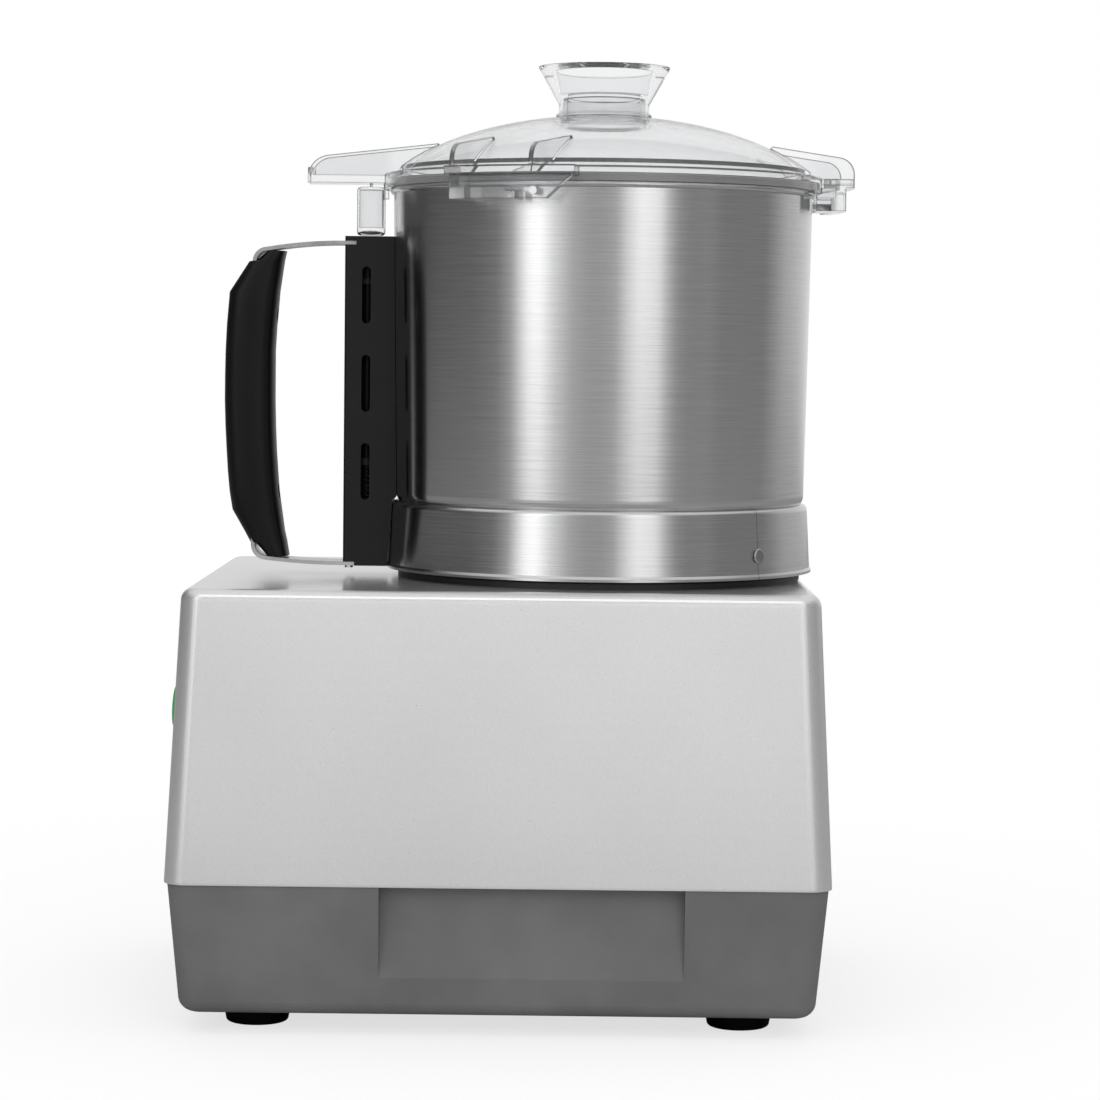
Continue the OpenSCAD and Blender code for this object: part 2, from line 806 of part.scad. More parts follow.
module control_panel() {
    color("#1f2022") on_front(0, panel_z)
        difference() {
            union() {
                hull()
                    for (i = [-1, 1], j = [-1, 1])
                        translate([i * (panel_h / 2 - panel_edge), j * (panel_w / 2 - panel_edge), 0])
                            cylinder(r = panel_edge, h = panel_t, $fn = hull_fn);
                for (i = [-1, 0, 1])
                    translate([0, i * button_pitch, panel_t - over])
                        cylinder(r = bezel_r, h = bezel_h + over);
                for (i = [-1, 0, 1])
                    translate([0, i * button_pitch, -switch_drop])
                        cylinder(r = front_hole_r - seat_fit, h = switch_drop + over);
            }
            for (i = [-1, 0, 1])
                translate([0, i * button_pitch, -switch_drop - over])
                    cylinder(r = button_r + button_play, h = switch_drop + panel_t + bezel_h + 2 * over);
            for (i = [-1, 1], j = [-1, 1])
                translate([i * (panel_h / 2 - panel_edge), j * (panel_w / 2 - panel_edge), -over])
                    cylinder(r = panel_screw_r + fit, h = panel_t + 2 * over);
        }
}
switch_drop = 8;

module panel_screws() {
    color("#8d9096") on_front(0, panel_z)
        for (i = [-1, 1], j = [-1, 1])
            translate([i * (panel_h / 2 - panel_edge), j * (panel_w / 2 - panel_edge), 0]) {
                translate([0, 0, panel_t])
                    cylinder(r = panel_head_r, h = panel_head_h);
                translate([0, 0, -housing_t - over])
                    cylinder(r = panel_screw_r, h = panel_t + housing_t + over);
            }
}

// A push button: cap with a soft edge, and the stem that works its switch
module push_button(y, r, cap_out) {
    top = panel_t + cap_out;
    soft = 1.5;
    on_front(y, panel_z) {
        rotate_extrude()
            polygon(concat(
                [[0, -button_foot], [r, -button_foot]], arc(r - soft, top - soft, soft, 0, 90, 4), [[0, top]]
            ));
        translate([0, 0, -button_foot - stem_l])
            cylinder(r = stem_r, h = stem_l + over);
    }
}
button_foot = 3;
stem_l = 6;

module start_button() {
    color("#2f9a4a")
        push_button(-button_pitch, button_r, button_out);
}

module stop_button() {
    color("#c8322b")
        push_button(0, button_r, button_out);
}

module pulse_button() {
    color("#2b2b2d")
        push_button(button_pitch, button_r, button_out);
}

// Switch blocks behind the panel, open to take each button's stem
module switch_blocks() {
    block_z = -switch_drop - switch_h;
    color("#34363a") on_front(0, panel_z)
        for (i = [-1, 0, 1])
            translate([0, i * button_pitch, 0])
                difference() {
                    translate([-switch_w / 2, -switch_w / 2, block_z])
                        cube([switch_w, switch_w, switch_h]);
                    translate([0, 0, -button_foot - stem_l - button_travel - switch_gap])
                        cylinder(r = stem_r + seat_fit, h = stem_l + button_travel + 2 * over);
                }
}

board_w = 120;
board_h = 90;
board_t = 1.6;
board_gap = 12;
relay_l = 30;
relay_w = 16;
relay_h = 20;
standoff_r = 3;
board_x = base_x - base_l / 2 + switch_drop + switch_h + board_gap;

module control_board() {
    color("#2e6b45") translate([board_x, 0, 0]) {
        translate([0, -board_w / 2, split_z - board_drop])
            cube([board_t, board_w, board_h]);
        for (i = [-1, 1])
            translate([board_t - fit, i * board_w / 4 - relay_w / 2, split_z + relay_w])
                cube([relay_h, relay_w, relay_l]);
    }
    color("#d8d4c8")
        for (sy = [-1, 1])
            translate([board_x, sy * (board_w / 2 - 2 * standoff_r), foot_h + tray_t])
                translate([-standoff_r, -standoff_r, 0])
                    cube([2 * standoff_r, 2 * standoff_r, split_z - board_drop - foot_h - tray_t + 2 * standoff_r]);
}
board_drop = 40;

cap_r = 20;
cap_l = 70;
cap_lead_h = 8;
cap_y = base_w / 2 - 42;
clamp_t = 1.5;
clamp_h = 16;
clamp_foot_w = 10;
cap_gap = 10;
cap_x = base_x - foot_span_x / 2 + foot_boss_r + cap_gap + clamp_t + cap_r;

module run_capacitor() {
    color("#c9cbcc") translate([cap_x, cap_y, foot_h + tray_t]) {
        cylinder(r = cap_r, h = cap_l);
        translate([0, 0, cap_l - over])
            cylinder(r = cap_r / 2, h = cap_lead_h + over);
    }
}

module capacitor_clamp() {
    color("#8d9096") translate([cap_x, cap_y, foot_h + tray_t])
        difference() {
            union() {
                cylinder(r = cap_r + clamp_t, h = clamp_h);
                translate([-clamp_foot_w / 2, -cap_r - clamp_foot_w, 0])
                    cube([clamp_foot_w, 2 * cap_r + 2 * clamp_foot_w, clamp_t]);
            }
            translate([0, 0, -over])
                cylinder(r = cap_r + fit, h = clamp_h + 2 * over);
        }
}

reed_w = 14;
reed_l = 30;
reed_h = 10;

module reed_switch() {
    color("#d9d9d4") at_bowl()
        translate([-rod_ring_r - reed_l / 2, -reed_w / 2, deck_z - deck_t - reed_h])
            cube([reed_l, reed_w, reed_h]);
}

gland_flange_r = 11;
gland_flange_t = 4;
gland_out = 10;
gland_in = 12;
gland_nut_af = 22;
gland_nut_h = 5;

module cable_gland() {
    color("#17181a") on_rear(gland_y, gland_z)
        difference() {
            union() {
                translate([0, 0, -gland_in])
                    cylinder(r = gland_r, h = gland_in + over);
                cylinder(r = gland_flange_r, h = gland_flange_t);
                translate([0, 0, gland_flange_t - over])
                    cylinder(r1 = gland_r + over, r2 = gland_bore_r + 2 * over,
                        h = gland_out - gland_flange_t + over);
            }
            translate([0, 0, -gland_in - over])
                cylinder(r = gland_bore_r, h = gland_in + gland_out + 2 * over);
        }
}

module gland_nut() {
    color("#17181a") on_rear(gland_y, gland_z)
        translate([0, 0, -housing_t - seat_fit - gland_nut_h])
            difference() {
                cylinder(r = gland_nut_af / sqrt(3), h = gland_nut_h, $fn = 6);
                translate([0, 0, -over])
                    cylinder(r = gland_r + fit, h = gland_nut_h + 2 * over);
            }
}

// Bowl

tube_out_r = spindle_d / 2 + 6;
tube_wall = 1.5;
bead_r = 1.6;
wall_low_r = rim_r - bowl_taper;

module bowl_shell() {
    corner_x = wall_low_r - bowl_corner_r;
    inner_r = bowl_corner_r - bowl_t;
    color("#b4b7ba") at_bowl()
        rotate_extrude() {
            polygon(concat(
                [[tube_out_r + fit, floor_z]],
                arc(corner_x, floor_z + bowl_corner_r, bowl_corner_r, -90, 0, 10),
                [[rim_r, rim_z - bead_r], [rim_r - bowl_t, rim_z - bead_r]],
                arc(corner_x, floor_z + bowl_corner_r, inner_r, 0, -90, 10),
                [[tube_out_r + fit, floor_z + bowl_t]]
            ));
            translate([rim_r - bowl_t + bead_r, rim_z - bead_r])
                circle(r = bead_r, $fn = 32);
        }
}

module bowl_tube() {
    color("#b4b7ba") at_bowl()
        tube(tube_out_r, tube_out_r - tube_wall, floor_z, tube_z);
}

shoulder_r = 3;
skirt_top_r = skirt_r - 1.7;
hem_out = 0.8;
hem_h = 1.3;

module bowl_skirt() {
    corner_x = wall_low_r - bowl_corner_r;
    lean = asin((seam_z - skirt_dip - floor_z - bowl_corner_r) / bowl_corner_r);
    lip_x = corner_x + bowl_corner_r * cos(lean) + fit;
    top_z = seam_z - skirt_dip;
    color("#b4b7ba") at_bowl()
        difference() {
            rotate_extrude()
                polygon(concat(
                    [[lip_x, top_z]],
                    arc(skirt_top_r - shoulder_r, top_z - shoulder_r, shoulder_r, 90, 0, 8),
                    [[skirt_r, skirt_z + 2 * hem_h], [skirt_r + hem_out, skirt_z + hem_h],
                        [skirt_r + hem_out, skirt_z], [skirt_r - bowl_t, skirt_z]],
                    arc(skirt_top_r - shoulder_r, top_z - shoulder_r, shoulder_r - bowl_t, 0, 90, 8),
                    [[lip_x, top_z - bowl_t]]
                ));
            for (a = pin_angles)
                rotate([0, 0, a])
                    radial_pin(pin_r + fit, skirt_top_r - 2 * shoulder_r, skirt_r + over, pin_z);
        }
}
skirt_dip = 0.4;

pin_reach_in = 3;
rivet_r = pin_r + 0.7;
rivet_h = 1.5;
pin_wall_r = skirt_r - (skirt_r - skirt_top_r) * (pin_z - rivet_r - skirt_z) / skirt_h + fit;

// Pins that key the bowl to its seat, riveted through the skirt
module locating_pins() {
    color("#9a9da1")
        for (a = pin_angles)
            at_bowl(a) {
                radial_pin(pin_r, seat_r - seat_wall - pin_reach_in, pin_wall_r + rivet_h / 2, pin_z);
                translate([pin_wall_r, 0, pin_z])
                    rotate([0, 90, 0])
                        rotate_extrude()
                            polygon(concat(
                                [[0, 0], [rivet_r, 0]],
                                arc(rivet_r - rivet_h / 2, 0, rivet_h, 30, 90, 4),
                                [[0, rivet_h]]
                            ));
            }
}

// Studs that the lid's hooks turn onto
stud_r = 2;
stud_out = 6.5;
stud_drop = 5.2;
stud_z = rim_z - stud_drop;
stud_angles = [12, 132, 252];

module lid_studs() {
    wall_r = rim_r - bowl_taper * stud_drop / bowl_h + fit;
    color("#a6a9ac")
        for (a = stud_angles)
            at_bowl(a)
                radial_pin(stud_r, wall_r, wall_r + stud_out, stud_z);
}

// Handle

column_drop = 28;
column_top_z = rim_z - column_drop;
column_rise = 0.4;
column_low_z = skirt_z + column_rise;
cap_t = 2.4;
cap_z = column_top_z + cap_t;
channel_r = 4.8;
channel_wall = 0.7;
strap_seat_l = 6;
column_reach = rim_r + column_depth;
rod_ring_r = column_reach - strap_seat_l - channel_wall - channel_r;
strap_r = 7;
strap_back = 16;
strap_sag = 3.6;
strap_rise = 2.4;
grip_low_z = column_low_z + strap_rise + strap_t + fit;
grip_top_z = column_top_z - strap_sag - strap_t - fit;
grip_sides = 28;

// The strap's middle line in radius and height: out from the column, down behind the grip, and back
strap_x = grip_reach - strap_back;
strap_path = concat(
    [[column_reach - strap_seat_l, column_top_z - strap_t / 2]],
    [for (i = [0:6]) let (s = i / 6) [
        column_reach + (strap_x - strap_r - column_reach) * s,
        column_top_z - strap_t / 2 - strap_sag * s * s]],
    arc(strap_x - strap_r, column_top_z - strap_t / 2 - strap_sag - strap_r, strap_r, 75, 0, 6),
    arc(strap_x - strap_r, column_low_z + strap_t / 2 + strap_rise + strap_r, strap_r, 0, -75, 6),
    [for (i = [6:-1:0]) let (s = i / 6) [
        column_reach + (strap_x - strap_r - column_reach) * s,
        column_low_z + strap_t / 2 + strap_rise * s * s]],
    [[column_reach - strap_seat_l, column_low_z + strap_t / 2]]
);

// A band of width w that follows a line of points
function unit(v) = v / norm(v);
function along(path, i) = unit(path[min(i + 1, len(path) - 1)] - path[max(i - 1, 0)]);
function left_of(v) = [-v[1], v[0]];
function band(path, w) = concat(
    [for (i = [0:len(path) - 1]) path[i] + left_of(along(path, i)) * w / 2],
    [for (i = [len(path) - 1:-1:0]) path[i] - left_of(along(path, i)) * w / 2]
);

module handle_strap() {
    color("#c4c6c8") at_bowl(180)
        difference() {
            radial_plate(band(strap_path, strap_t), strap_w);
            for (z = [column_top_z, column_low_z], y = [-1, 1])
                translate([column_reach - strap_seat_l / 2, y * column_screw_y, z - 2 * strap_t])
                    cylinder(r = column_screw_r + fit, h = 4 * strap_t);
            for (z = grip_screw_zs)
                translate([strap_x - strap_t, 0, z])
                    rotate([0, 90, 0])
                        cylinder(r = grip_screw_r + fit, h = 2 * strap_t);
        }
}

// Shares of the grip's height, and how far its outer and inner faces stand from the middle ones
grip_height_shares = [0, 0.04, 0.045, 0.08, 0.151, 0.212, 0.275, 0.345, 0.43, 0.51, 0.59, 0.674, 0.76,
    0.839, 0.865, 0.965, 0.97, 1];
outer_back_shares = [0.87, 0.65, 0.53, 0.415, 0.166, 0.106, 0.07, 0.042, 0.015, 0, 0.002, 0.011, 0.035,
    0.075, 0.087, 0.479, 0.64, 0.85];
inner_back_shares = [0.302, 0.26, 0.257, 0.208, 0.147, 0.094, 0.064, 0.034, 0.012, 0, 0, 0, 0.03,
    0.072, 0.083, 0.17, 0.174, 0.215];
width_shares = [0.82, 0.87, 0.88, 0.91, 0.96, 0.98, 1, 1, 1, 1, 1, 1, 1, 0.99, 0.98, 0.9, 0.89, 0.82];

module grip_body() {
    count = len(grip_height_shares);
    points = [for (k = [0:count - 1], j = [0:grip_sides - 1])
        let (
            z = grip_low_z + (grip_top_z - grip_low_z) * grip_height_shares[k],
            r_out = grip_reach - grip_depth * outer_back_shares[k],
            r_in = grip_reach - grip_depth - grip_depth * inner_back_shares[k],
            t = 360 * j / grip_sides,
            c = cos(t),
            s = sin(t),
            px = sign(c) * pow(abs(c), grip_roundness),
            py = sign(s) * pow(abs(s), grip_roundness)
        )
        [(r_out + r_in) / 2 + px * (r_out - r_in) / 2, py * grip_w * width_shares[k] / 2, z]];
    polyhedron(points, loft_faces(count, grip_sides), convexity = 4);
}
grip_roundness = 0.62;
grip_screw_zs = [grip_low_z + 34, grip_top_z - 34];
grip_screw_r = 2;
grip_head_r = 4;
grip_head_h = 2.4;
grip_head_sink = 6;

module handle_grip() {
    color("#1c1c1d") at_bowl(180)
        difference() {
            grip_body();
            translate([strap_x - strap_t / 2 - fit, -strap_w / 2 - fit, grip_low_z - over])
                cube([strap_t + 2 * fit, strap_w + 2 * fit, grip_top_z - grip_low_z + 2 * over]);
            radial_plate(band(strap_path, strap_t + 2 * fit), strap_w + 2 * fit);
            for (z = grip_screw_zs) {
                translate([strap_x - grip_depth, 0, z])
                    rotate([0, 90, 0])
                        cylinder(r = grip_screw_r + fit, h = grip_depth + grip_head_sink);
                translate([grip_reach - 1.3 * grip_depth - over, 0, z])
                    rotate([0, 90, 0])
                        cylinder(r = grip_head_r + fit, h = 0.3 * grip_depth + over + grip_head_sink);
            }
        }
}

module grip_screws() {
    color("#8d9096") at_bowl(180)
        for (z = grip_screw_zs) {
            translate([grip_reach - grip_depth + grip_head_sink - grip_head_h, 0, z])
                rotate([0, 90, 0])
                    cylinder(r = grip_head_r, h = grip_head_h);
            translate([grip_reach - grip_depth + grip_head_sink, 0, z])
                rotate([0, 90, 0])
                    cylinder(r = grip_screw_r, h = strap_x - grip_reach + grip_depth);
        }
}

// Interlock column with its sprung rod

slot_mid_z = column_top_z - 28.6;
column_edge = 2;
ledge_z = column_low_z + 19;
ledge_t = 3.6;
plug_t = 1.4;
column_screw_r = 1.5;
column_screw_y = 8;
column_screw_l = 9;
column_head_r = 2.2;
column_head_h = 1.2;
bowl_clear = 0.15;

module bowl_clearance() {
    rotate_extrude()
        polygon([
            [0, skirt_z - 3 * hem_h], [skirt_r + hem_out + bowl_clear, skirt_z - 3 * hem_h],
            [skirt_r + hem_out + bowl_clear, skirt_z + 3 * hem_h],
            [skirt_top_r + bowl_clear, seam_z], [wall_low_r + bowl_clear, seam_z + over],
            [rim_r + bowl_clear, rim_z], [0, rim_z]
        ]);
}

module interlock_column() {
    mid_r = (rim_r + column_reach) / 2;
    color("#1d1d1e") at_bowl(180)
        difference() {
            hull()
                for (x = [rim_r - 2 * column_edge, column_reach - column_edge], y = [-1, 1])
                    translate([x, y * (column_w / 2 - column_edge), column_low_z])
                        cylinder(r = column_edge, h = column_top_z - column_low_z, $fn = hull_fn);
            bowl_clearance();
            translate([rod_ring_r, 0, ledge_z])
                cylinder(r = channel_r, h = column_top_z - ledge_z + over);
            translate([rod_ring_r, 0, column_low_z - over])
                cylinder(r = rod_d / 2 + seat_fit, h = ledge_z - column_low_z + 2 * over);
            translate([rod_ring_r, 0, column_low_z - over])
                cylinder(r = channel_r, h = ledge_z - ledge_t - column_low_z + over);
            for (i = [0:2])
                translate([rod_ring_r, 0, slot_mid_z - i * slot_pitch]) {
                    translate([-slot_w / 2, 0, -(slot_l - slot_w) / 2])
                        cube([slot_w, column_w, slot_l - slot_w]);
                    for (s = [-1, 1])
                        translate([0, 0, s * (slot_l - slot_w) / 2])
                            rotate([-90, 0, 0])
                                cylinder(r = slot_w / 2, h = column_w);
                }
            for (z = [column_top_z - strap_t - fit, column_low_z - over])
                translate([column_reach - strap_seat_l - fit, -column_w, z])
                    cube([strap_seat_l + over, 2 * column_w, strap_t + fit + over]);
            for (y = [-1, 1]) {
                translate([column_reach - strap_seat_l / 2, y * column_screw_y,
                    column_top_z - column_screw_l])
                    cylinder(r = column_screw_r + fit, h = column_screw_l + over);
                translate([column_reach - strap_seat_l / 2, y * column_screw_y, column_low_z - over])
                    cylinder(r = column_screw_r + fit, h = column_screw_l + over);
            }
        }
}

module column_cap() {
    color("#202021") at_bowl(180)
        difference() {
            hull()
                for (x = [rim_r - 2 * column_edge, column_reach - column_edge], y = [-1, 1])
                    translate([x, y * (column_w / 2 - column_edge), column_top_z])
                        cylinder(r = column_edge, h = cap_t, $fn = hull_fn);
            bowl_clearance();
            translate([rod_ring_r, 0, column_top_z - over])
                cylinder(r = rod_d / 2 + seat_fit, h = cap_t + 2 * over);
            for (y = [-1, 1])
                translate([column_reach - strap_seat_l / 2, y * column_screw_y, column_top_z - over]) {
                    cylinder(r = column_screw_r + fit, h = cap_t + 2 * over);
                    translate([0, 0, cap_t - column_head_h + over])
                        cylinder(r = column_head_r + fit, h = column_head_h + over);
                }
        }
}

module column_screws() {
    x = column_reach - strap_seat_l / 2;
    color("#8d9096") at_bowl(180)
        for (y = [-1, 1]) {
            translate([x, y * column_screw_y, cap_z - column_head_h])
                cylinder(r = column_head_r, h = column_head_h);
            translate([x, y * column_screw_y, cap_z - column_screw_l])
                cylinder(r = column_screw_r, h = column_screw_l);
            translate([x, y * column_screw_y, column_low_z - column_head_h])
                cylinder(r = column_head_r, h = column_head_h);
            translate([x, y * column_screw_y, column_low_z])
                cylinder(r = column_screw_r, h = column_screw_l - over);
        }
}

module channel_plug() {
    color("#202021") at_bowl(180)
        translate([rod_ring_r, 0, column_low_z])
            cylinder(r = channel_r - fit, h = plug_t);
}

// Rod, plunger, collars and magnet slide together
magnet_h = 5;
magnet_r = 4;
rod_low_z = column_low_z + plug_t + magnet_h + seat_fit;
collar_r = 4.4;
upper_collar_z = slot_mid_z + slot_l / 2 - 9;
upper_collar_h = 2.7;
lower_collar_z = slot_mid_z - 2 * slot_pitch + slot_l / 2 - 12;
lower_collar_h = 3.7;
plunger_z = upper_collar_z + upper_collar_h;
plunger_h = 10;
plunger_tip = 0.4;
post_gap = 0.3;
rod_top_z = cap_z + plunger_tip;
tip_r = rod_d / 2;

module at_rod(z) {
    at_bowl(180)
        translate([rod_ring_r, 0, z])
            children();
}

module interlock_rod() {
    color("#8f9398") at_rod(rod_low_z)
        cylinder(r = rod_d / 2, h = plunger_z - rod_low_z);
}

module rod_plunger() {
    color("#161617") at_rod(plunger_z)
        rotate_extrude()
            polygon(concat(
                [[0, 0], [collar_r, 0], [collar_r, plunger_h], [tip_r, plunger_h]],
                arc(tip_r - over, rod_top_z - plunger_z - over, over, 0, 90, 5),
                [[0, rod_top_z - plunger_z]]
            ));
}

module rod_collars() {
    color("#a3a6aa") at_bowl(180)
        translate([rod_ring_r, 0, 0]) {
            tube(collar_r, rod_d / 2 + fit, upper_collar_z, upper_collar_z + upper_collar_h);
            tube(collar_r, rod_d / 2 + fit, lower_collar_z, lower_collar_z + lower_collar_h);
        }
}

module rod_magnet() {
    color("#70757c") at_rod(column_low_z + plug_t + seat_fit)
        cylinder(r = magnet_r, h = magnet_h);
}

// The spring under the lower collar: closed end turns and open middle turns
spring_turns = 14;
spring_wire_r = 0.45;
spring_r = 3.85;
spring_rings = 8;
spring_low_z = ledge_z + spring_wire_r + fit;
spring_top_z = lower_collar_z - spring_wire_r - fit;
spring_steps = spring_turns * spring_rings;
end_turn_share = 0.09;
// Share of the spring's height that is reached after share t of its turns
function coil_rise(t) =
    t < end_turn_share ? end_rise_share * t / end_turn_share
    : t > 1 - end_turn_share ? 1 - end_rise_share * (1 - t) / end_turn_share
    : end_rise_share + (1 - 2 * end_rise_share) * (t - end_turn_share) / (1 - 2 * end_turn_share);
end_rise_share = 0.055;
function coil_point(i) = let (t = i / spring_steps, a = 360 * spring_turns * t)
    [spring_r * cos(a), spring_r * sin(a),
        spring_low_z + (spring_top_z - spring_low_z) * coil_rise(t)];
function coil_ring(i) = let (
        p = coil_point(i),
        a = 360 * i / spring_rings,
        out = [cos(a), sin(a), 0]
    )
    [for (k = [0:5]) p + spring_wire_r * (cos(60 * k) * out + sin(60 * k) * [0, 0, 1])];
coil_points = [for (i = [0:spring_steps]) each coil_ring(i)];
coil_gap = min([for (i = [0:spring_steps - spring_rings])
    coil_point(i + spring_rings)[2] - coil_point(i)[2]]) - 2 * spring_wire_r;
echo(least_gap_of_spring_coils = coil_gap);

module interlock_spring() {
    color("#b9bcc0") at_bowl(180)
        translate([rod_ring_r, 0, 0])
            polyhedron(coil_points, loft_faces(spring_steps + 1, 6), convexity = 10);
}

// Lid

seal_in_r = rim_r - 2.7;
seal_out_r = rim_r + 1.6;
lid_skirt_t = 2.2;
lid_low_z = rim_z - 0.5;
lid_rib_r = seal_in_r - 0.4;
lid_rib_t = 2.9;
lid_rib_z = rim_z - 6.5;
dome_foot_r = lid_rib_r - 0.8;
lid_edge = 1;
seal_rest = 0.2;
seal_top_gap = 0.1;
seal_lip = 0.8;

module lid_seal() {
    color("#e6e6e2") at_bowl()
        rotate_extrude()
            polygon([
                [seal_in_r, rim_z + seal_rest], [seal_out_r, rim_z + seal_rest],
                [seal_out_r, lid_z - seal_top_gap - seal_lip], [seal_out_r - seal_lip, lid_z - seal_top_gap],
                [seal_in_r + seal_lip, lid_z - seal_top_gap], [seal_in_r, lid_z - seal_top_gap - seal_lip]
            ]);
}

throat_r = 19.5;
collar_t = 2.4;
collar_top_z = crown_z + 9;
dome_n = 14;

hook_angles = [4, 124, 244];
hook_in_r = 123.4;
hook_out_r = 128.8;
hook_low_z = rim_z - 9.7;
hook_plate_z = rim_z + 2.4;
hook_plate_t = 4.4;
shelf_in_r = rim_r + 2.1;
shelf_z = rim_z - 5.3;
ledge_high_z = rim_z - 2.9;
hook_from = -11.6;
hook_to = 12.5;
hook_to_top = 19.1;
shelf_to = 2;
shelf_ramp_to = 4.5;
stop_wall = 2.2;
fin_root_r = 86;
fin_knee_r = 122;
fin_knee_z = flange_z + 11;
fin_round = 9;
fin_sink = 1.2;

// A vertical fin on the dome, from its root out to reach, where its corner is rounded
function fin_outline(root_r, knee_z, reach, low_z, corner) = concat(
    [[root_r, dome_top(root_r) - fin_sink]],
    [[root_r + fin_sink, dome_top(root_r)]],
    arc(reach - corner, knee_z - corner, corner, 80, 0, 7),
    [[reach, low_z], [lid_r - lid_edge, low_z], [lid_r - lid_edge, flange_z - fin_sink],
        [dome_foot_r, flange_z - fin_sink]],
    [for (i = [0:5]) let (r = dome_foot_r - (dome_foot_r - root_r) * i / 5) [r, dome_top(r) - fin_sink]]
);

module lid_fin(y, root_r, knee_z, reach, low_z, corner) {
    translate([0, y, 0])
        radial_plate(fin_outline(root_r, knee_z, reach, low_z, corner), fin_t);
}

module lid_hook() {
    sweep_mid = asin(fin_pitch / 2 / hook_out_r);
    for (s = [-1, 1])
        lid_fin(s * fin_pitch / 2, fin_root_r, fin_knee_z, hook_reach - 2, hook_plate_z, fin_round);
    sector(lid_r - lid_edge, hook_reach, hook_plate_z, hook_plate_z + hook_plate_t, hook_from, hook_to_top);
    difference() {
        sector(hook_in_r, hook_out_r, hook_low_z, hook_plate_z + over, hook_from, hook_to_top);
        rotate([0, 0, hook_to])
            translate([hook_in_r - over, 0, hook_low_z])
                rotate([-hook_slant, 0, 0])
                    translate([0, 0, -hook_out_r])
                        cube([hook_out_r - hook_in_r + 2 * over, hook_out_r, 2 * hook_out_r]);
    }
    sector(shelf_in_r, hook_in_r + over, hook_low_z, ledge_high_z, hook_from, shelf_to);
    sector(shelf_in_r, hook_in_r + over, hook_low_z, shelf_z, shelf_to, shelf_ramp_to);
    sector(shelf_in_r, hook_in_r + over, hook_low_z, hook_plate_z + over, hook_from, hook_from + 1.1);
    sector(lid_r - lid_skirt_t, hook_in_r + over, hook_plate_z - over, hook_plate_z + over, hook_from,
        hook_from + 1.1);
}
hook_slant = 47;

wing_plate_t = 4;
wing_round = 12;
wing_lean = 9;
post_r = 7.6;
post_t = 1.6;
post_soft = 2;
post_top_z = hook_plate_z - 1.6;
post_low_z = cap_z + plunger_tip + post_gap;
post_cut = 2.4;
bridge_w = 5;
bridge_h = 8;
web_t = 1.4;

module lid_wing() {
    top_z = fin_knee_z - 1.5;
    for (s = [-1, 1])
        lid_fin(s * wing_pitch / 2, fin_root_r, top_z, wing_reach, hook_plate_z, wing_round);
    translate([lid_r - lid_edge, -wing_pitch / 2 - fin_t / 2, hook_plate_z])
        cube([wing_reach - lid_r + lid_edge, wing_pitch + fin_t, wing_plate_t]);
    translate([wing_reach - fin_t, -wing_pitch / 2, hook_plate_z])
        cube([fin_t, wing_pitch, wing_plate_t * 2]);
}

// The hollow post that holds the rod down, and its bridge to the rim
module lid_post() {
    difference() {
        union() {
            rotate_extrude()
                polygon(concat(
                    [[0, post_low_z]], arc(post_r - post_soft, post_low_z + post_soft, post_soft, -90, 0, 5),
                    arc(post_r - post_soft, post_top_z - post_soft, post_soft, 0, 90, 5), [[0, post_top_z]]
                ));
            translate([-web_t / 2, -post_r / 2, post_top_z - over])
                cube([web_t, post_r, hook_plate_z - post_top_z + 2 * over]);
        }
        translate([0, 0, post_low_z + post_cut + post_t])
            cylinder(r = post_r - post_t, h = post_top_z - post_low_z - post_cut - 2 * post_t);
        translate([-post_r - over, 0, post_low_z])
            rotate([90, 0, 90])
                linear_extrude(2 * (post_r + over))
                    polygon([[-tip_r, -over], [-tip_r, 0], [post_r + over, post_cut], [post_r + over, -over]]);
    }
}

module lid_shell() {
    color([0.86, 0.88, 0.89, 0.45]) at_bowl() {
        rotate_extrude()
            polygon(concat(
                [[throat_r, dome_under(throat_r)], [throat_r, collar_top_z],
                    [throat_r + collar_t, collar_top_z], [throat_r + collar_t, dome_top(throat_r + collar_t)]],
                [for (i = [1:dome_n]) let (r = throat_r + collar_t
                    + (dome_foot_r - throat_r - collar_t) * i / dome_n) [r, dome_top(r)]],
                [[dome_foot_r, flange_z], [lid_r - lid_edge, flange_z], [lid_r, flange_z - lid_edge],
                    [lid_r, lid_low_z], [lid_r - lid_skirt_t, lid_low_z], [lid_r - lid_skirt_t, lid_z],
                    [lid_rib_r, lid_z], [lid_rib_r, lid_rib_z], [lid_rib_r - lid_rib_t, lid_rib_z]],
                [for (i = [0:dome_n - 1]) let (r = lid_rib_r - lid_rib_t
                    - (lid_rib_r - lid_rib_t - throat_r) * i / dome_n) [r, dome_under(r)]]
            ));
        for (a = hook_angles)
            rotate([0, 0, a])
                lid_hook();
        rotate([0, 0, 180]) {
            lid_wing();
            translate([rod_ring_r - 1.5, 0, 0])
                lid_post();
            translate([lid_r - lid_skirt_t, -bridge_w / 2, hook_plate_z - bridge_h])
                cube([rod_ring_r - 1.5 - post_r - lid_r + lid_skirt_t + over, bridge_w, bridge_h + over]);
        }
    }
}

funnel_wall = 2.6;
sleeve_t = 2;
base_ring_r = throat_r + collar_t + sleeve_t + 1.4;
cone_low_r = throat_r + collar_t + sleeve_t + 2.4;
mouth_in_r = 25.6;
funnel_lip = 0.8;
base_ring_h = 2.4;
waist_h = 6;

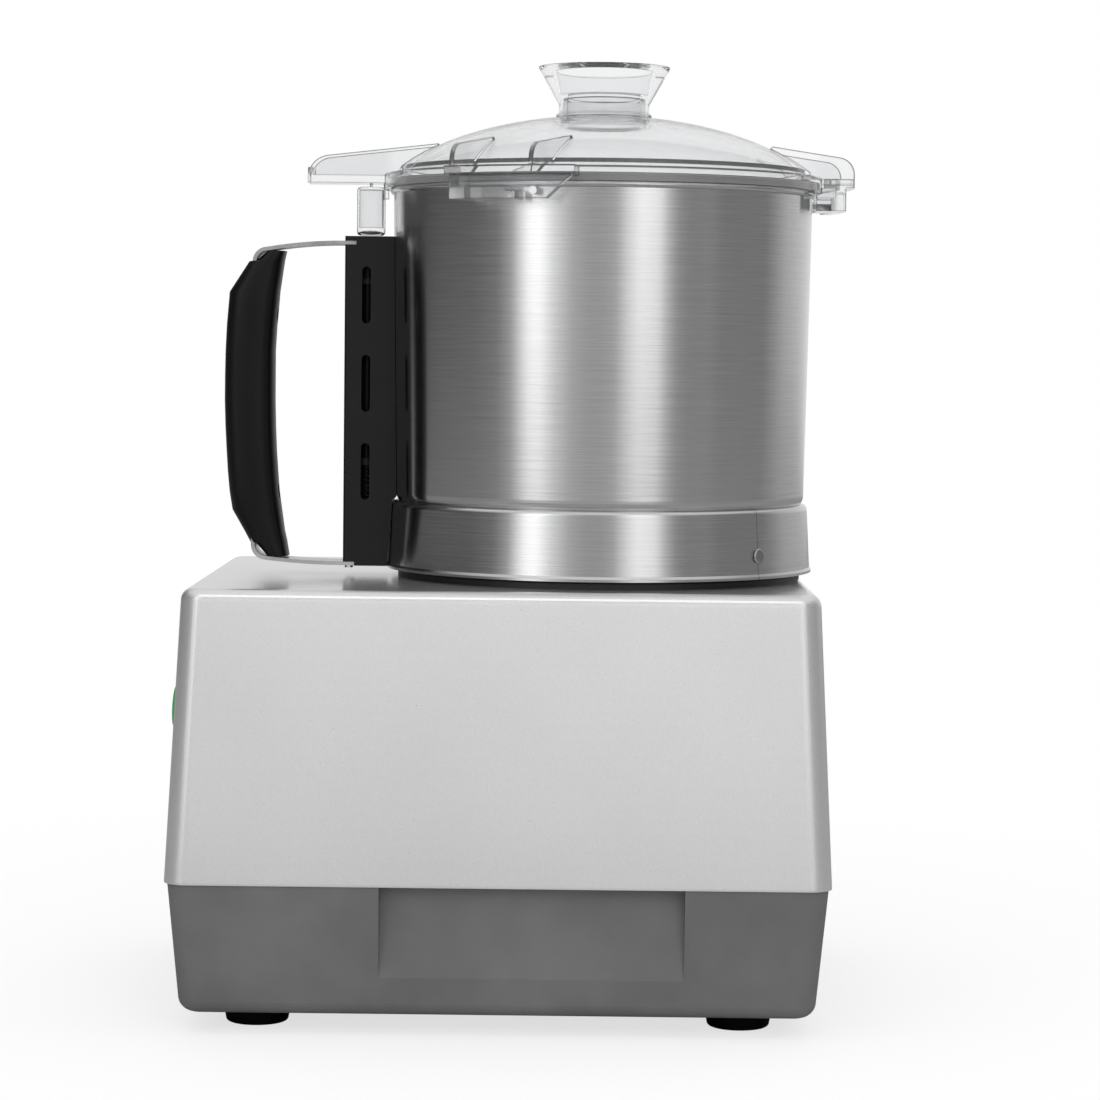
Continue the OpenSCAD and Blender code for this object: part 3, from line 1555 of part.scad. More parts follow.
module pour_funnel() {
    sleeve_in = throat_r + collar_t + fit;
    sleeve_out = sleeve_in + sleeve_t;
    foot_z = dome_top(sleeve_in) + fit;
    top_z = crown_z + funnel_h;
    color([0.88, 0.9, 0.91, 0.4]) at_bowl()
        rotate_extrude()
            polygon(concat(
                [[sleeve_in, foot_z], [base_ring_r, foot_z], [base_ring_r, foot_z + base_ring_h / 2]],
                arc(sleeve_out + waist_r, foot_z + base_ring_h + waist_r / 2, waist_r, -115, -180, 4),
                [[sleeve_out, collar_top_z - waist_h / 2], [cone_low_r, collar_top_z + over],
                    [funnel_r, top_z - funnel_lip], [funnel_r, top_z], [funnel_r - funnel_lip, top_z],
                    [mouth_in_r, top_z - 2 * funnel_lip], [mouth_low_r, collar_top_z + 2 * over],
                    [throat_r, collar_top_z + 2 * over], [throat_r, collar_top_z + fit],
                    [sleeve_in, collar_top_z + fit]]
            ));
}
waist_r = 1;
mouth_low_r = 23.2;

// Blades on their hub

hub_in_r = tube_out_r + 1.2;
hub_out_r = hub_in_r + 3.6;
hub_lift = 1.5;
hub_low_z = floor_z + bowl_t + hub_lift;
hub_flange_t = 2.5;
hub_flange_r = hub_out_r + 5;
web_z = spindle_z + seat_fit;
hub_top_z = web_z + hex_h + 2;
socket_gap = 0.15;
lower_blade_z = hub_low_z + hub_flange_t;
spacer_h = 32;
upper_blade_z = lower_blade_z + blade_t + spacer_h;
ring_z = upper_blade_z + blade_t;
ring_h = 10;
cap_knob_r = 19;
cap_knob_h = 14;

module blade_hub() {
    color("#d8d9da") at_bowl()
        difference() {
            union() {
                translate([0, 0, hub_low_z])
                    cylinder(r = hub_out_r, h = hub_top_z - hub_low_z);
                translate([0, 0, hub_low_z])
                    cylinder(r = hub_flange_r, h = hub_flange_t);
            }
            translate([0, 0, hub_low_z - over])
                cylinder(r = hub_in_r, h = web_z - hub_low_z + over);
            translate([0, 0, web_z - over])
                cylinder(r = hex_af / sqrt(3) + socket_gap, h = hub_top_z - web_z + 2 * over, $fn = 6);
        }
}

// A sickle blade: an eye round the hub, and an arm that ends in a point
module sickle(z) {
    eye_r = hub_out_r + fit + 6;
    back_r = blade_reach * 0.62;
    edge_r = blade_reach * 0.74;
    translate([0, 0, z])
        linear_extrude(blade_t)
            difference() {
                union() {
                    circle(r = eye_r);
                    intersection() {
                        circle(r = blade_reach);
                        difference() {
                            translate([blade_reach * 0.4, blade_reach * 0.02])
                                circle(r = back_r);
                            translate([blade_reach * 0.47, -blade_reach * 0.3])
                                circle(r = edge_r);
                        }
                        translate([-eye_r / 2, -eye_r])
                            square([2 * blade_reach, 2 * blade_reach]);
                    }
                }
                circle(r = hub_out_r + fit);
            }
}

module lower_blade() {
    color("#c9ccd0") at_bowl(20)
        sickle(lower_blade_z);
}

module upper_blade() {
    color("#c9ccd0") at_bowl(200)
        sickle(upper_blade_z);
}

module blade_spacer() {
    color("#d8d9da") at_bowl()
        tube(hub_flange_r, hub_out_r + fit, lower_blade_z + blade_t, upper_blade_z);
}

module blade_ring() {
    color("#8f9296") at_bowl()
        difference() {
            tube(hub_flange_r, hub_out_r + fit, ring_z, ring_z + ring_h);
            for (i = [0:5])
                rotate([0, 0, i * 60])
                    translate([hub_flange_r + over / 2, 0, ring_z - over])
                        cylinder(r = 2 * over, h = ring_h + 2 * over);
        }
}

module hub_cap() {
    color("#242425") at_bowl()
        difference() {
            translate([0, 0, hub_top_z])
                rotate_extrude()
                    polygon(concat([[0, 0], [cap_knob_r, 0]],
                        arc(cap_knob_r - 3, cap_knob_h - 3, 3, 0, 90, 5), [[0, cap_knob_h]]));
            for (i = [0:7])
                rotate([0, 0, i * 45])
                    translate([cap_knob_r + 2, 0, hub_top_z - over])
                        cylinder(r = 4, h = cap_knob_h + 2 * over);
        }
}

base_tray();
motor_housing();
rubber_feet();
foot_screws();
housing_screws();
bowl_seat();
seat_screws();
shaft_seal();
upper_bell();
lower_bell();
stator_core();
stator_windings();
upper_bearing();
lower_bearing();
motor_bolts();
control_panel();
panel_screws();
switch_blocks();
control_board();
run_capacitor();
capacitor_clamp();
reed_switch();
cable_gland();
gland_nut();
drive_shaft();
rotor_core();
cooling_fan();
start_button();
stop_button();
pulse_button();
bowl_shell();
bowl_tube();
bowl_skirt();
locating_pins();
lid_studs();
handle_strap();
handle_grip();
grip_screws();
interlock_column();
column_cap();
column_screws();
channel_plug();
interlock_spring();
interlock_rod();
rod_plunger();
rod_collars();
rod_magnet();
lid_seal();
lid_shell();
pour_funnel();
blade_hub();
lower_blade();
blade_spacer();
upper_blade();
blade_ring();
hub_cap();
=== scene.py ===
"""Looks of the table-top bowl cutter: finishes of its pieces, soft studio light and the camera.

Lengths are in metres.
"""

import math

import bmesh
import bpy
from mathutils import Matrix, Vector


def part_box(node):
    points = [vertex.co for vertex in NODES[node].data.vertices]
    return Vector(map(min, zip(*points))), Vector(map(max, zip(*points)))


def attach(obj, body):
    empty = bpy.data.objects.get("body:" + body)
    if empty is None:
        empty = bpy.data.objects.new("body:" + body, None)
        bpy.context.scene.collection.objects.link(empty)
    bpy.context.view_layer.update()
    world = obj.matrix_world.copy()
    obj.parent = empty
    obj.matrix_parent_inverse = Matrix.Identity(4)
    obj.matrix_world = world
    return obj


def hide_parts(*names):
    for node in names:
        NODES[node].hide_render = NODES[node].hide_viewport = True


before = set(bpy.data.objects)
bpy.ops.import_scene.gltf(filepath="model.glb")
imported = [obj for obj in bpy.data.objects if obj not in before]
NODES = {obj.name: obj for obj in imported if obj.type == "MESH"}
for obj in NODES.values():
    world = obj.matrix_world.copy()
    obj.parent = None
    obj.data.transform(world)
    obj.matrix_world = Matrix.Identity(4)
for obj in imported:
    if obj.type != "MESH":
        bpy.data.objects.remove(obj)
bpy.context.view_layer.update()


def axis_of_bowl():
    """Where the bowl's axis stands on the table, and the height of its rim."""
    low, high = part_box("bowl_shell")
    return (low.x + high.x) / 2, high.z


BOWL_X, RIM_Z = axis_of_bowl()

# Most of a noise texture's values lie between these two
NOISE_LOW, NOISE_HIGH = 0.3, 0.7

# Where the weld line of the skirt runs: degrees round the bowl's axis, through the pin on the near side
WELD_ANGLE = -44.2

# Distances from the middle of the rim over which the lid's clear tint turns into the greyer tint of painted
# shade on its outer ribs
RIB_SHADE_START, RIB_SHADE_END = 0.112, 0.118

STEEL = (0.62, 0.62, 0.625)
WHITE = (1.0, 1.0, 1.0)


class Graph:
    """Shorter ways to make and join the nodes of one node tree."""

    def __init__(self, tree):
        self.tree = tree

    def node(self, kind, **values):
        """A new node, with its input sockets and its settings given by name."""
        made = self.tree.nodes.new(kind)
        for key, value in values.items():
            if key in made.inputs:
                made.inputs[key].default_value = value
            else:
                setattr(made, key, value)
        return made

    def link(self, source, target):
        self.tree.links.new(source, target)

    def feed(self, socket, value):
        """Gives a socket a number, a colour or another node's output."""
        if isinstance(value, bpy.types.NodeSocket):
            self.link(value, socket)
        elif isinstance(value, tuple):
            socket.default_value = (*value, 1.0)
        else:
            socket.default_value = value

    def coordinates(self, kind="Object"):
        return self.node("ShaderNodeTexCoord").outputs[kind]

    def split(self, vector):
        made = self.node("ShaderNodeSeparateXYZ")
        self.link(vector, made.inputs["Vector"])
        return made.outputs

    def distance(self, vector, point):
        """How far a place is from a fixed point."""
        away = self.node("ShaderNodeVectorMath", operation="SUBTRACT")
        away.inputs[1].default_value = point
        self.link(vector, away.inputs[0])
        made = self.node("ShaderNodeVectorMath", operation="LENGTH")
        self.link(away.outputs["Vector"], made.inputs[0])
        return made.outputs["Value"]

    def math(self, operation, a, b=0.0):
        made = self.node("ShaderNodeMath", operation=operation)
        self.feed(made.inputs[0], a)
        self.feed(made.inputs[1], b)
        return made.outputs[0]

    def mix(self, share, first, second):
        """A colour between two others."""
        made = self.node("ShaderNodeMixRGB")
        for socket, value in zip(made.inputs, (share, first, second)):
            self.feed(socket, value)
        return made.outputs["Color"]

    def range(self, value, low, high, to_low, to_high, kind="LINEAR"):
        """Turns values from low to high into values from to_low to to_high."""
        made = self.node("ShaderNodeMapRange", interpolation_type=kind)
        for socket, number in zip(made.inputs[1:5], (low, high, to_low, to_high)):
            socket.default_value = number
        self.link(value, made.inputs["Value"])
        return made.outputs["Result"]


class Finish(Graph):
    """A procedural material, built node by node."""

    def __init__(self, name, colour, roughness, metallic=0.0):
        self.material = bpy.data.materials.new(name)
        self.material.use_nodes = True
        super().__init__(self.material.node_tree)
        self.shader = self.tree.nodes["Principled BSDF"]
        self.set("Base Color", (*colour, 1.0))
        self.set("Roughness", roughness)
        self.set("Metallic", metallic)
        self.bump = None

    def set(self, socket, value):
        self.shader.inputs[socket].default_value = value

    def place(self, scale=(1.0, 1.0, 1.0)):
        """Object coordinates, stretched by a scale for each axis."""
        mapping = self.node("ShaderNodeMapping")
        mapping.inputs["Scale"].default_value = scale
        self.link(self.coordinates(), mapping.inputs["Vector"])
        return mapping.outputs["Vector"]

    def turn_and_height(self):
        """The angle round the bowl's axis, and the height."""
        spot = self.split(self.coordinates())
        from_axis = self.math("SUBTRACT", spot["X"], BOWL_X)
        return self.math("ARCTAN2", spot["Y"], from_axis), spot["Z"]

    def around_bowl(self, turn_scale, height_scale):
        """Coordinates that run round the bowl's axis and up it, for lines brushed round the bowl."""
        turn, height = self.turn_and_height()
        joined = self.node("ShaderNodeCombineXYZ")
        self.link(self.math("MULTIPLY", turn, turn_scale), joined.inputs["X"])
        self.link(self.math("MULTIPLY", height, height_scale), joined.inputs["Y"])
        return joined.outputs["Vector"]

    def noise(self, where, scale, detail=2.0, rough=0.5):
        made = self.node("ShaderNodeTexNoise", Scale=scale, Detail=detail, Roughness=rough)
        self.link(where, made.inputs["Vector"])
        return made.outputs["Fac"]

    def blend(self, first, first_share, second):
        """The sum of two textures, the first by its share and the second by the rest."""
        part = self.math("MULTIPLY", first, first_share)
        rest = self.math("MULTIPLY", second, 1 - first_share)
        return self.math("ADD", part, rest)

    def ramp(self, value, low, high, colour_low, colour_high):
        """Colours from low to high values of a texture."""
        made = self.node("ShaderNodeValToRGB")
        first, last = made.color_ramp.elements
        first.position, last.position = low, high
        first.color, last.color = (*colour_low, 1.0), (*colour_high, 1.0)
        self.link(value, made.inputs["Fac"])
        return made.outputs["Color"]

    def colour_from(self, source):
        self.link(source, self.shader.inputs["Base Color"])

    def roughness_from(self, source):
        self.link(source, self.shader.inputs["Roughness"])

    def relief(self, height, depth, strength=1.0):
        """Adds fine relief, on top of any that is there."""
        made = self.node("ShaderNodeBump", Distance=depth, Strength=strength)
        self.link(height, made.inputs["Height"])
        if self.bump is not None:
            self.link(self.bump.outputs["Normal"], made.inputs["Normal"])
        self.bump = made
        self.link(made.outputs["Normal"], self.shader.inputs["Normal"])


def scaled(colour, share):
    return tuple(c * share for c in colour)


def moulded(name, colour, roughness, grain=2400.0, depth=0.00004, spread=0.12, shine=0.5, metallic=0.0):
    """Moulded plastic, rubber or cast metal with a fine grain and faint blotches."""
    made = Finish(name, colour, roughness, metallic)
    made.set("Specular IOR Level", shine)
    blotch = made.noise(made.place(), scale=26.0, detail=3.0)
    dark, pale = scaled(colour, 1 - spread), scaled(colour, 1 + spread)
    made.colour_from(made.ramp(blotch, NOISE_LOW, NOISE_HIGH, dark, pale))
    made.roughness_from(made.range(blotch, NOISE_LOW, NOISE_HIGH, roughness * 0.92, roughness * 1.08))
    made.relief(made.noise(made.place(), scale=grain, detail=1.0), depth)
    return made.material


def brushed_round(name, colour, roughness, weld=None):
    """Steel brushed round the bowl's axis: fine lines, upright highlights, and a weld line at one angle."""
    streak = 0.1
    weld_half, weld_fade, weld_share, weld_dark = 0.0012, 0.0035, 0.7, 0.3
    made = Finish(name, colour, roughness, 1.0)
    made.set("Anisotropic", 0.92)
    made.set("Anisotropic Rotation", 0.25)
    tangent = made.node("ShaderNodeTangent", direction_type="RADIAL", axis="Z")
    made.link(tangent.outputs["Tangent"], made.shader.inputs["Tangent"])
    fine_place = made.around_bowl(turn_scale=3.5, height_scale=4200.0)
    broad_place = made.around_bowl(turn_scale=1.2, height_scale=1300.0)
    fine = made.noise(fine_place, scale=1.0, detail=3.0, rough=0.6)
    broad = made.noise(broad_place, scale=1.0)
    lines = made.blend(fine, 0.7, broad)
    brushed = made.ramp(lines, 0.36, 0.64, scaled(colour, 1 - streak), scaled(colour, 1 + streak))
    if weld is not None:
        turn, _ = made.turn_and_height()
        off_weld = made.math("ABSOLUTE", made.math("SUBTRACT", turn, math.radians(weld)))
        seam = made.range(off_weld, weld_half, weld_fade, weld_share, 0.0)
        brushed = made.mix(seam, brushed, scaled(colour, weld_dark))
    made.colour_from(brushed)
    made.roughness_from(made.range(lines, NOISE_LOW, NOISE_HIGH, roughness * 0.8, roughness * 1.2))
    made.relief(lines, depth=0.00001, strength=0.4)
    return made.material


def brushed_along(name, colour, roughness, stretch):
    """Steel brushed in straight lines along one axis."""
    made = Finish(name, colour, roughness, 1.0)
    made.set("Anisotropic", 0.5)
    lines = made.noise(made.place(stretch), scale=1.0, detail=3.0, rough=0.6)
    made.colour_from(made.ramp(lines, 0.35, 0.65, scaled(colour, 0.88), scaled(colour, 1.08)))
    made.roughness_from(made.range(lines, NOISE_LOW, NOISE_HIGH, roughness * 0.8, roughness * 1.25))
    made.relief(lines, depth=0.00002, strength=0.5)
    return made.material


def metal(name, colour, roughness, blotch_scale=60.0):
    """Plain metal with a faint unevenness in its polish."""
    made = Finish(name, colour, roughness, 1.0)
    uneven = made.noise(made.place(), scale=blotch_scale, detail=4.0)
    made.colour_from(made.ramp(uneven, NOISE_LOW, NOISE_HIGH, scaled(colour, 0.93), scaled(colour, 1.05)))
    made.roughness_from(made.range(uneven, NOISE_LOW, NOISE_HIGH, roughness * 0.85, roughness * 1.2))
    return made.material


def silver_paint(name):
    """Satin silver coating with metal flake under a clear lacquer."""
    colour = (0.56, 0.56, 0.565)
    smoothest, roughest = 0.27, 0.4
    made = Finish(name, colour, 0.33, 0.72)
    made.set("Coat Weight", 1.0)
    made.set("Coat Roughness", 0.13)
    flake = made.node("ShaderNodeTexVoronoi", Scale=2600.0)
    made.link(made.place(), flake.inputs["Vector"])
    glitter = made.math("MULTIPLY", flake.outputs["Color"], 1.0)
    wave = made.noise(made.place(), scale=7.0)
    mottled = made.blend(glitter, 0.45, wave)
    made.colour_from(made.ramp(mottled, 0.25, 0.75, scaled(colour, 0.92), scaled(colour, 1.08)))
    made.roughness_from(made.range(glitter, 0.0, 1.0, smoothest, roughest))
    made.relief(glitter, depth=0.000015, strength=0.5)
    return made.material


def clear_plastic(name, tint, shaded_rib_tint, roughness, bend):
    """Clear polycarbonate with a faint haze, with painted shade as dark lines along its rounded edges and
    as a greyer tint on its outer ribs.
    """
    # Colour of the painted shade along rounded edges, and the radius of rounding that finds those edges
    edge_shade_colour, edge_radius = (0.04, 0.04, 0.042), 0.0011
    # How closely the rounded normal agrees with the true one, on the darkest line and on a flat face
    edge_alike, flat_alike = 0.86, 0.992
    made = Finish(name, tint, roughness)
    made.set("Transmission Weight", 0.95)
    made.set("IOR", bend)
    rounded = made.node("ShaderNodeBevel", samples=6, Radius=edge_radius)
    surface = made.node("ShaderNodeNewGeometry")
    alike = made.node("ShaderNodeVectorMath", operation="DOT_PRODUCT")
    made.link(rounded.outputs["Normal"], alike.inputs[0])
    made.link(surface.outputs["Normal"], alike.inputs[1])
    edge = made.range(made.math("ABSOLUTE", alike.outputs["Value"]), edge_alike, flat_alike, 1.0, 0.0)
    out = made.distance(made.coordinates(), (BOWL_X, 0.0, RIM_Z))
    # Painted shade: the outer ribs are tinted greyer than the rest of the lid
    body = made.mix(made.range(out, RIB_SHADE_START, RIB_SHADE_END, 0.0, 1.0), tint, shaded_rib_tint)
    # Painted shade: the rounded edges are coloured dark, as dark lines along them
    made.colour_from(made.mix(edge, body, edge_shade_colour))
    haze = made.noise(made.place(), scale=40.0, detail=3.0)
    made.roughness_from(made.range(haze, 0.35, 0.75, roughness, roughness * 3))
    made.relief(made.noise(made.place(), scale=320.0), depth=0.000012, strength=0.4)
    return made.material


def laminated(name, colour):
    """Stack of thin steel sheets."""
    made = Finish(name, colour, 0.5, 0.8)
    sheets = made.node("ShaderNodeTexWave", wave_type="BANDS", bands_direction="Z", Scale=320.0)
    made.link(made.place(), sheets.inputs["Vector"])
    made.colour_from(made.ramp(sheets.outputs["Fac"], 0.2, 0.8, scaled(colour, 0.7), scaled(colour, 1.2)))
    made.relief(sheets.outputs["Fac"], depth=0.0001, strength=0.5)
    return made.material


def wound_copper(name, colour):
    """Varnished copper windings."""
    made = Finish(name, colour, 0.34, 0.85)
    strands = made.node("ShaderNodeTexWave", wave_type="RINGS", rings_direction="Z", Scale=260.0)
    strands.inputs["Distortion"].default_value = 1.5
    made.link(made.place(), strands.inputs["Vector"])
    made.colour_from(made.ramp(strands.outputs["Fac"], 0.2, 0.9, scaled(colour, 0.45), scaled(colour, 1.3)))
    made.relief(strands.outputs["Fac"], depth=0.0004, strength=0.8)
    return made.material


def button_plastic(name, colour):
    return moulded(name, colour, 0.28, grain=1200.0, depth=0.00002)


def body_finishes():
    """Finishes of the base, the bowl and its handle, by the nodes that they go on."""
    return {
        "motor_housing": silver_paint("silver_coating"),
        "base_tray": moulded("grey_tray", (0.103, 0.1035, 0.104), 0.5, 1700.0, 0.00006, shine=0.35),
        "rubber_feet": moulded("foot_rubber", (0.0015, 0.0015, 0.0015), 0.6, 1500.0, shine=0.08),
        "bowl_shell bowl_tube": brushed_round("brushed_bowl", STEEL, 0.2),
        "bowl_skirt": brushed_round("brushed_skirt", scaled(STEEL, 0.9), 0.2, WELD_ANGLE),
        "bowl_seat": moulded("seat_plastic", (0.008, 0.008, 0.008), 0.5),
        "locating_pins": metal("pin_steel", (0.36, 0.36, 0.37), 0.3, 900.0),
        "handle_strap": brushed_along("strap_steel", (0.5, 0.5, 0.505), 0.26, (60.0, 900.0, 60.0)),
        "handle_grip": moulded("grip_plastic", (0.0024, 0.0024, 0.0025), 0.4, 2000.0, 0.00005, shine=0.2),
        "interlock_column column_cap channel_plug":
            moulded("black_moulding", (0.0048, 0.0048, 0.005), 0.46, shine=0.25),
        "interlock_rod rod_plunger": moulded("plunger_plastic", (0.004, 0.004, 0.004), 0.35, shine=0.25),
        "rod_collars": moulded("collar_plastic", (0.02, 0.02, 0.02), 0.45, shine=0.3),
        "rod_magnet": metal("sintered_magnet", (0.25, 0.26, 0.28), 0.4),
        "interlock_spring": metal("spring_wire", (0.3, 0.3, 0.305), 0.3),
        "foot_screws housing_screws seat_screws panel_screws grip_screws column_screws motor_bolts"
        " capacitor_clamp": metal("zinc_screw", (0.5, 0.51, 0.53), 0.34, 400.0),
    }


def lid_and_blade_finishes():
    """Finishes of the lid and of what turns in the bowl."""
    # The second tint is painted shade: it colours the lid's outer ribs greyer
    lid_tint, shaded_rib_tint, funnel_tint = (0.935, 0.94, 0.945), (0.885, 0.89, 0.895), (0.915, 0.92, 0.925)
    return {
        "lid_shell": clear_plastic("clear_polycarbonate", lid_tint, shaded_rib_tint, 0.012, 1.22),
        "pour_funnel": clear_plastic("clear_cone", funnel_tint, funnel_tint, 0.015, 1.08),
        "lid_seal": moulded("pale_seal", (0.24, 0.24, 0.235), 0.5, 800.0),
        "lid_studs blade_ring": metal("bright_steel", (0.66, 0.66, 0.67), 0.2),
        "lower_blade upper_blade":
            brushed_along("ground_blade", (0.66, 0.665, 0.67), 0.22, (900.0, 60.0, 60.0)),
        "blade_hub blade_spacer": moulded("pale_hub", (0.72, 0.72, 0.71), 0.4),
        "hub_cap": moulded("cap_plastic", (0.02, 0.02, 0.02), 0.38),
    }


def drive_finishes():
    """Finishes of the motor and of the pieces round it."""
    return {
        "shaft_seal": moulded("seal_rubber", (0.015, 0.015, 0.015), 0.6),
        "upper_bell lower_bell":
            moulded("cast_alloy", (0.42, 0.425, 0.43), 0.55, 900.0, 0.0002, metallic=0.9),
        "stator_core rotor_core": laminated("laminated_steel", (0.3, 0.3, 0.31)),
        "stator_windings": wound_copper("copper_winding", (0.5, 0.19, 0.07)),
        "upper_bearing lower_bearing drive_shaft": metal("ground_steel", (0.6, 0.61, 0.62), 0.16),
        "cooling_fan switch_blocks": moulded("switch_plastic", (0.03, 0.032, 0.035), 0.5),
    }


def control_finishes():
    """Finishes of the controls, the electric pieces and the cable's entry."""
    return {
        "control_panel": moulded("panel_plastic", (0.018, 0.018, 0.02), 0.34),
        "start_button": button_plastic("green_button", (0.02, 0.28, 0.06)),
        "stop_button": button_plastic("red_button", (0.5, 0.02, 0.014)),
        "pulse_button": button_plastic("black_button", (0.018, 0.018, 0.02)),
        "control_board": moulded("board_green", (0.03, 0.16, 0.07), 0.45, 600.0),
        "run_capacitor": brushed_along("drawn_can", (0.66, 0.66, 0.67), 0.3, (60.0, 60.0, 900.0)),
        "reed_switch": moulded("reed_white", (0.7, 0.7, 0.68), 0.45),
        "cable_gland gland_nut": moulded("gland_plastic", (0.012, 0.012, 0.012), 0.48),
    }


def finish_nodes():
    for finishes in (body_finishes(), lid_and_blade_finishes(), drive_finishes(), control_finishes()):
        for names, material in finishes.items():
            for name in names.split():
                slots = NODES[name].data.materials
                slots.clear()
                slots.append(material)


def smooth_copy(name, node, body, angle):
    """The same piece with smooth shading over its facets, in the CAD node's place."""
    same_place = 0.000002
    source = NODES[node].data
    build = bmesh.new()
    build.from_mesh(source)
    bmesh.ops.remove_doubles(build, verts=build.verts, dist=same_place)
    for edge in build.edges:
        faces = edge.link_faces
        edge.smooth = len(faces) == 2 and faces[0].normal.angle(faces[1].normal, 0.0) < math.radians(angle)
    for face in build.faces:
        face.smooth = True
    mesh = bpy.data.meshes.new(name)
    build.to_mesh(mesh)
    build.free()
    mesh.materials.append(source.materials[0])
    piece = bpy.data.objects.new(name, mesh)
    bpy.context.scene.collection.objects.link(piece)
    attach(piece, body)
    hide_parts(node)


# Brightness of the studio round the machine: degrees from the near side towards the rear, and share
STUDIO = [
    (-180, 0.78), (-168, 0.7), (-154, 0.4), (-140, 0.06), (-125, 0.05), (-100, 0.1), (-75, 0.11),
    (-60, 0.2), (-51, 0.6), (-41, 2.35), (-35, 2.45), (-27, 1.4), (-17, 0.7), (-8, 0.5),
    (0, 0.5), (7, 0.62), (12, 1.2), (20, 1.9), (30, 1.68), (35, 0.9), (41, 0.42), (48, 0.3),
    (60, 0.32), (68, 0.24), (100, 0.24), (110, 0.42), (120, 0.62), (135, 0.74), (152, 0.8),
    (165, 0.8), (180, 0.78),
]


def studio_level(graph, spot):
    """The studio's brightness in the direction of a place on the sky, from the STUDIO table."""
    angle = graph.math("ARCTAN2", spot["X"], graph.math("MULTIPLY", spot["Y"], -1.0))
    turn = graph.range(angle, -math.pi, math.pi, 0.0, 1.0)
    ramp = graph.node("ShaderNodeValToRGB")
    elements = ramp.color_ramp.elements
    for degrees, level in STUDIO:
        position = (degrees + 180) / 360
        if degrees in (-180, 180):
            element = elements[0 if degrees < 0 else -1]
            element.position = position
        else:
            element = elements.new(position)
        element.color = (level, level, level, 1.0)
    graph.link(turn, ramp.inputs["Fac"])
    return ramp.outputs["Color"]


def light_world():
    """White for the camera, and for rays through clear plastic that leave towards the backdrop.

    Elsewhere the studio's table gives the light, up to a height from which the sky is white.
    """
    sky_start, sky_end = 0.45, 0.8
    backdrop_start, backdrop_end, other_ways = 0.74, 0.86, 0.28
    world = bpy.data.worlds.new("studio")
    bpy.context.scene.world = world
    world.use_nodes = True
    world.node_tree.nodes.clear()
    graph = Graph(world.node_tree)
    spot = graph.split(graph.coordinates("Generated"))
    studio = graph.node("ShaderNodeBackground")
    graph.link(studio_level(graph, spot), studio.inputs["Color"])
    white = graph.node("ShaderNodeBackground", Color=(*WHITE, 1.0))
    lit = graph.node("ShaderNodeMixShader")
    graph.link(graph.range(spot["Z"], sky_start, sky_end, 0.0, 1.0, "SMOOTHSTEP"), lit.inputs["Fac"])
    graph.link(studio.outputs[0], lit.inputs[1])
    graph.link(white.outputs[0], lit.inputs[2])
    path = graph.node("ShaderNodeLightPath").outputs
    behind = graph.range(spot["Y"], backdrop_start, backdrop_end, other_ways, 1.0, "SMOOTHSTEP")
    through = graph.math("MULTIPLY", path["Is Transmission Ray"], behind)
    seen = graph.node("ShaderNodeMixShader")
    graph.link(graph.math("MAXIMUM", path["Is Camera Ray"], through), seen.inputs["Fac"])
    graph.link(lit.outputs[0], seen.inputs[1])
    graph.link(white.outputs[0], seen.inputs[2])
    out = graph.node("ShaderNodeOutputWorld")
    graph.link(seen.outputs[0], out.inputs["Surface"])


# Lamps: place, width, height and watts
LAMPS = {
    "front_box": ((0.15, -2.4, 0.9), 1.6, 1.6, 19.0),
    "left_box": ((-1.9, -0.9, 1.3), 0.9, 1.3, 5.0),
    "right_box": ((2.0, -0.3, 1.2), 0.9, 1.3, 5.0),
    "paint_box": ((0.0, -2.2, 0.3), 1.5, 1.5, 4.0),
    "edge_strip": ((0.0, -1.2, 1.5), 1.7, 0.3, 3.0),
    "top_box": ((0.0, 0.2, 2.2), 1.4, 1.4, 8.0),
}

# Lamps that light nothing but the painted housing, and that it mirrors softly
HOUSING_LAMPS = ("paint_box", "edge_strip")


def area_light(name, place, width, height, watts):
    """A lamp towards the machine's middle that only lights: neither mirrored nor seen through the lid."""
    middle = Vector((0.0, 0.0, 0.25))
    data = bpy.data.lights.new(name, "AREA")
    data.energy = watts
    data.shape = "RECTANGLE"
    data.size = width
    data.size_y = height
    made = bpy.data.objects.new(name, data)
    bpy.context.scene.collection.objects.link(made)
    made.visible_glossy = False
    made.visible_transmission = False
    made.location = place
    made.rotation_euler = (middle - Vector(place)).to_track_quat("-Z", "Y").to_euler()
    return made


def light_lamps():
    painted = bpy.data.collections.new("painted_housing")
    painted.objects.link(NODES["motor_housing"])
    for name, (place, width, height, watts) in LAMPS.items():
        lamp = area_light(name, place, width, height, watts)
        if name in HOUSING_LAMPS:
            lamp.visible_glossy = True
            lamp.light_linking.receiver_collection = painted


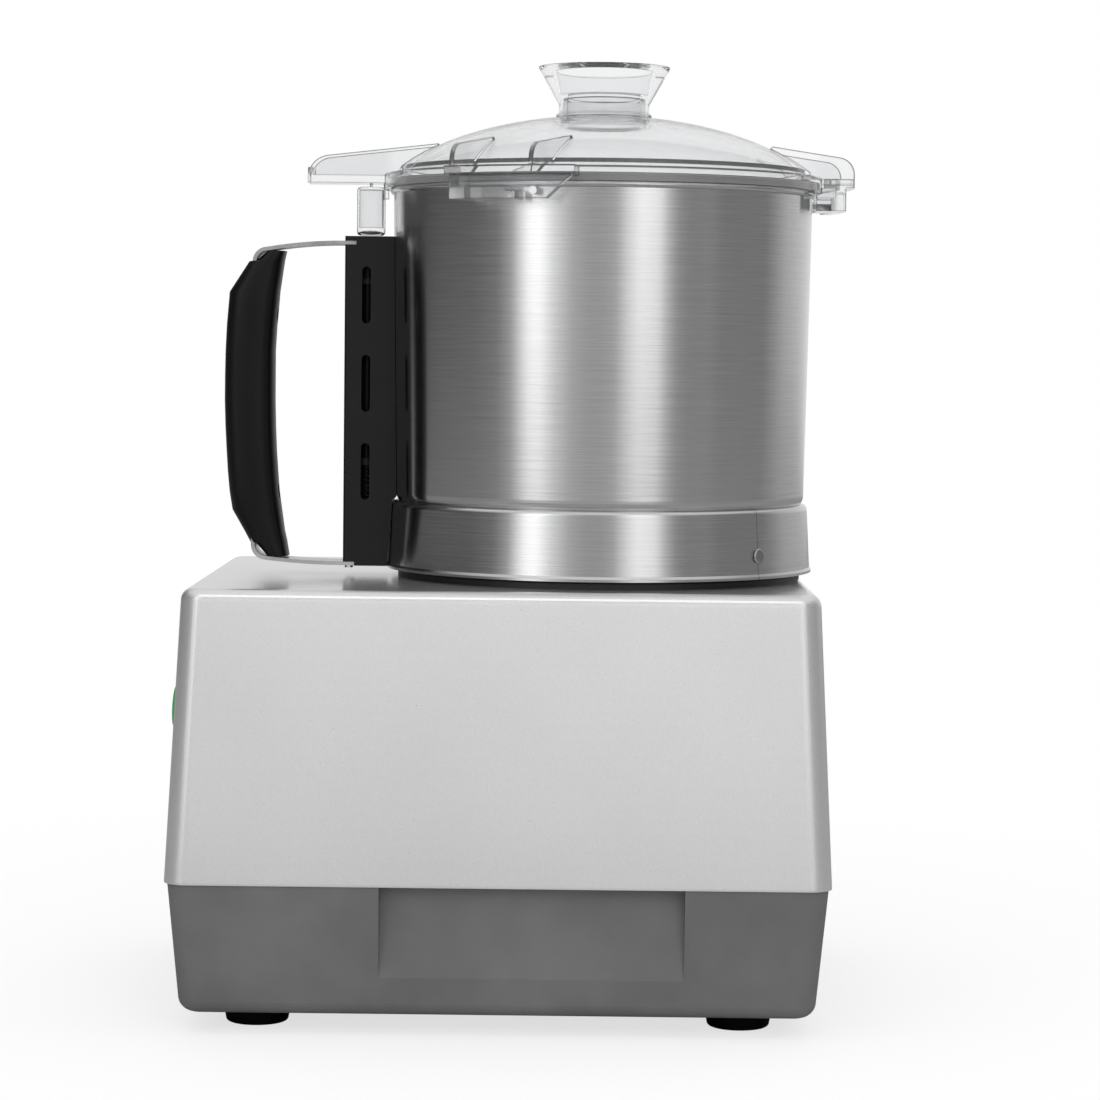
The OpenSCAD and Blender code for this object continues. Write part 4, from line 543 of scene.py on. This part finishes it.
def make_floor():
    """A plain pale floor that takes the soft shadow near the machine and fades to white away from it.

    Polished surfaces see it darker, and rays through clear plastic see its white behind the machine only.
    """
    reach = 6.0
    pale, mirrored = (0.86, 0.86, 0.86), (0.3, 0.3, 0.3)
    near, far, near_share = 0.2, 0.75, 0.7
    rear_start, rear_end = 0.1, 0.4
    mesh = bpy.data.meshes.new("floor")
    corners = [(-reach, -reach, 0), (reach, -reach, 0), (reach, reach, 0), (-reach, reach, 0)]
    mesh.from_pydata(corners, [], [(0, 1, 2, 3)])
    floor = bpy.data.objects.new("floor", mesh)
    bpy.context.scene.collection.objects.link(floor)
    made = Finish("floor_paint", pale, 0.9)
    where = made.coordinates()
    path = made.node("ShaderNodeLightPath").outputs
    made.colour_from(made.mix(path["Is Glossy Ray"], pale, mirrored))
    rear = made.range(made.split(where)["Y"], rear_start, rear_end, 0.0, 1.0)
    through = made.math("MULTIPLY", path["Is Transmission Ray"], rear)
    seen = made.math("MAXIMUM", path["Is Camera Ray"], through)
    fade = made.range(made.distance(where, (0.0, 0.0, 0.0)), near, far, near_share, 1.0)
    white = made.node("ShaderNodeEmission", Color=(*WHITE, 1.0))
    whitened = made.node("ShaderNodeMixShader")
    made.link(made.math("MULTIPLY", seen, fade), whitened.inputs["Fac"])
    made.link(made.shader.outputs["BSDF"], whitened.inputs[1])
    made.link(white.outputs["Emission"], whitened.inputs[2])
    made.link(whitened.outputs["Shader"], made.tree.nodes["Material Output"].inputs["Surface"])
    mesh.materials.append(made.material)


def add_camera():
    """The photograph's view: square to the machine's side, from just under the rim's height."""
    focal_px, frame_px, sensor_mm = 3250.0, 1100.0, 36.0
    distance, below_rim, aside, far_end = 1.735, 0.0845, -0.026, 50.0
    pitch, roll = math.radians(3.52), math.radians(0.66)
    data = bpy.data.cameras.new("view")
    data.sensor_width = sensor_mm
    data.lens = focal_px / frame_px * sensor_mm
    data.clip_end = far_end
    camera = bpy.data.objects.new("view", data)
    bpy.context.scene.collection.objects.link(camera)
    camera.matrix_world = (
        Matrix.Translation((BOWL_X + aside, -distance, RIM_Z - below_rim))
        @ Matrix.Rotation(math.radians(90) - pitch, 4, "X")
        @ Matrix.Rotation(roll, 4, "Z")
    )
    bpy.context.scene.camera = camera


finish_nodes()
smooth_copy("clear_lid", "lid_shell", "lid", 14)
smooth_copy("moulded_grip", "handle_grip", "bowl", 32)
light_world()
light_lamps()
make_floor()
add_camera()
bpy.context.scene.view_settings.view_transform = "Standard"
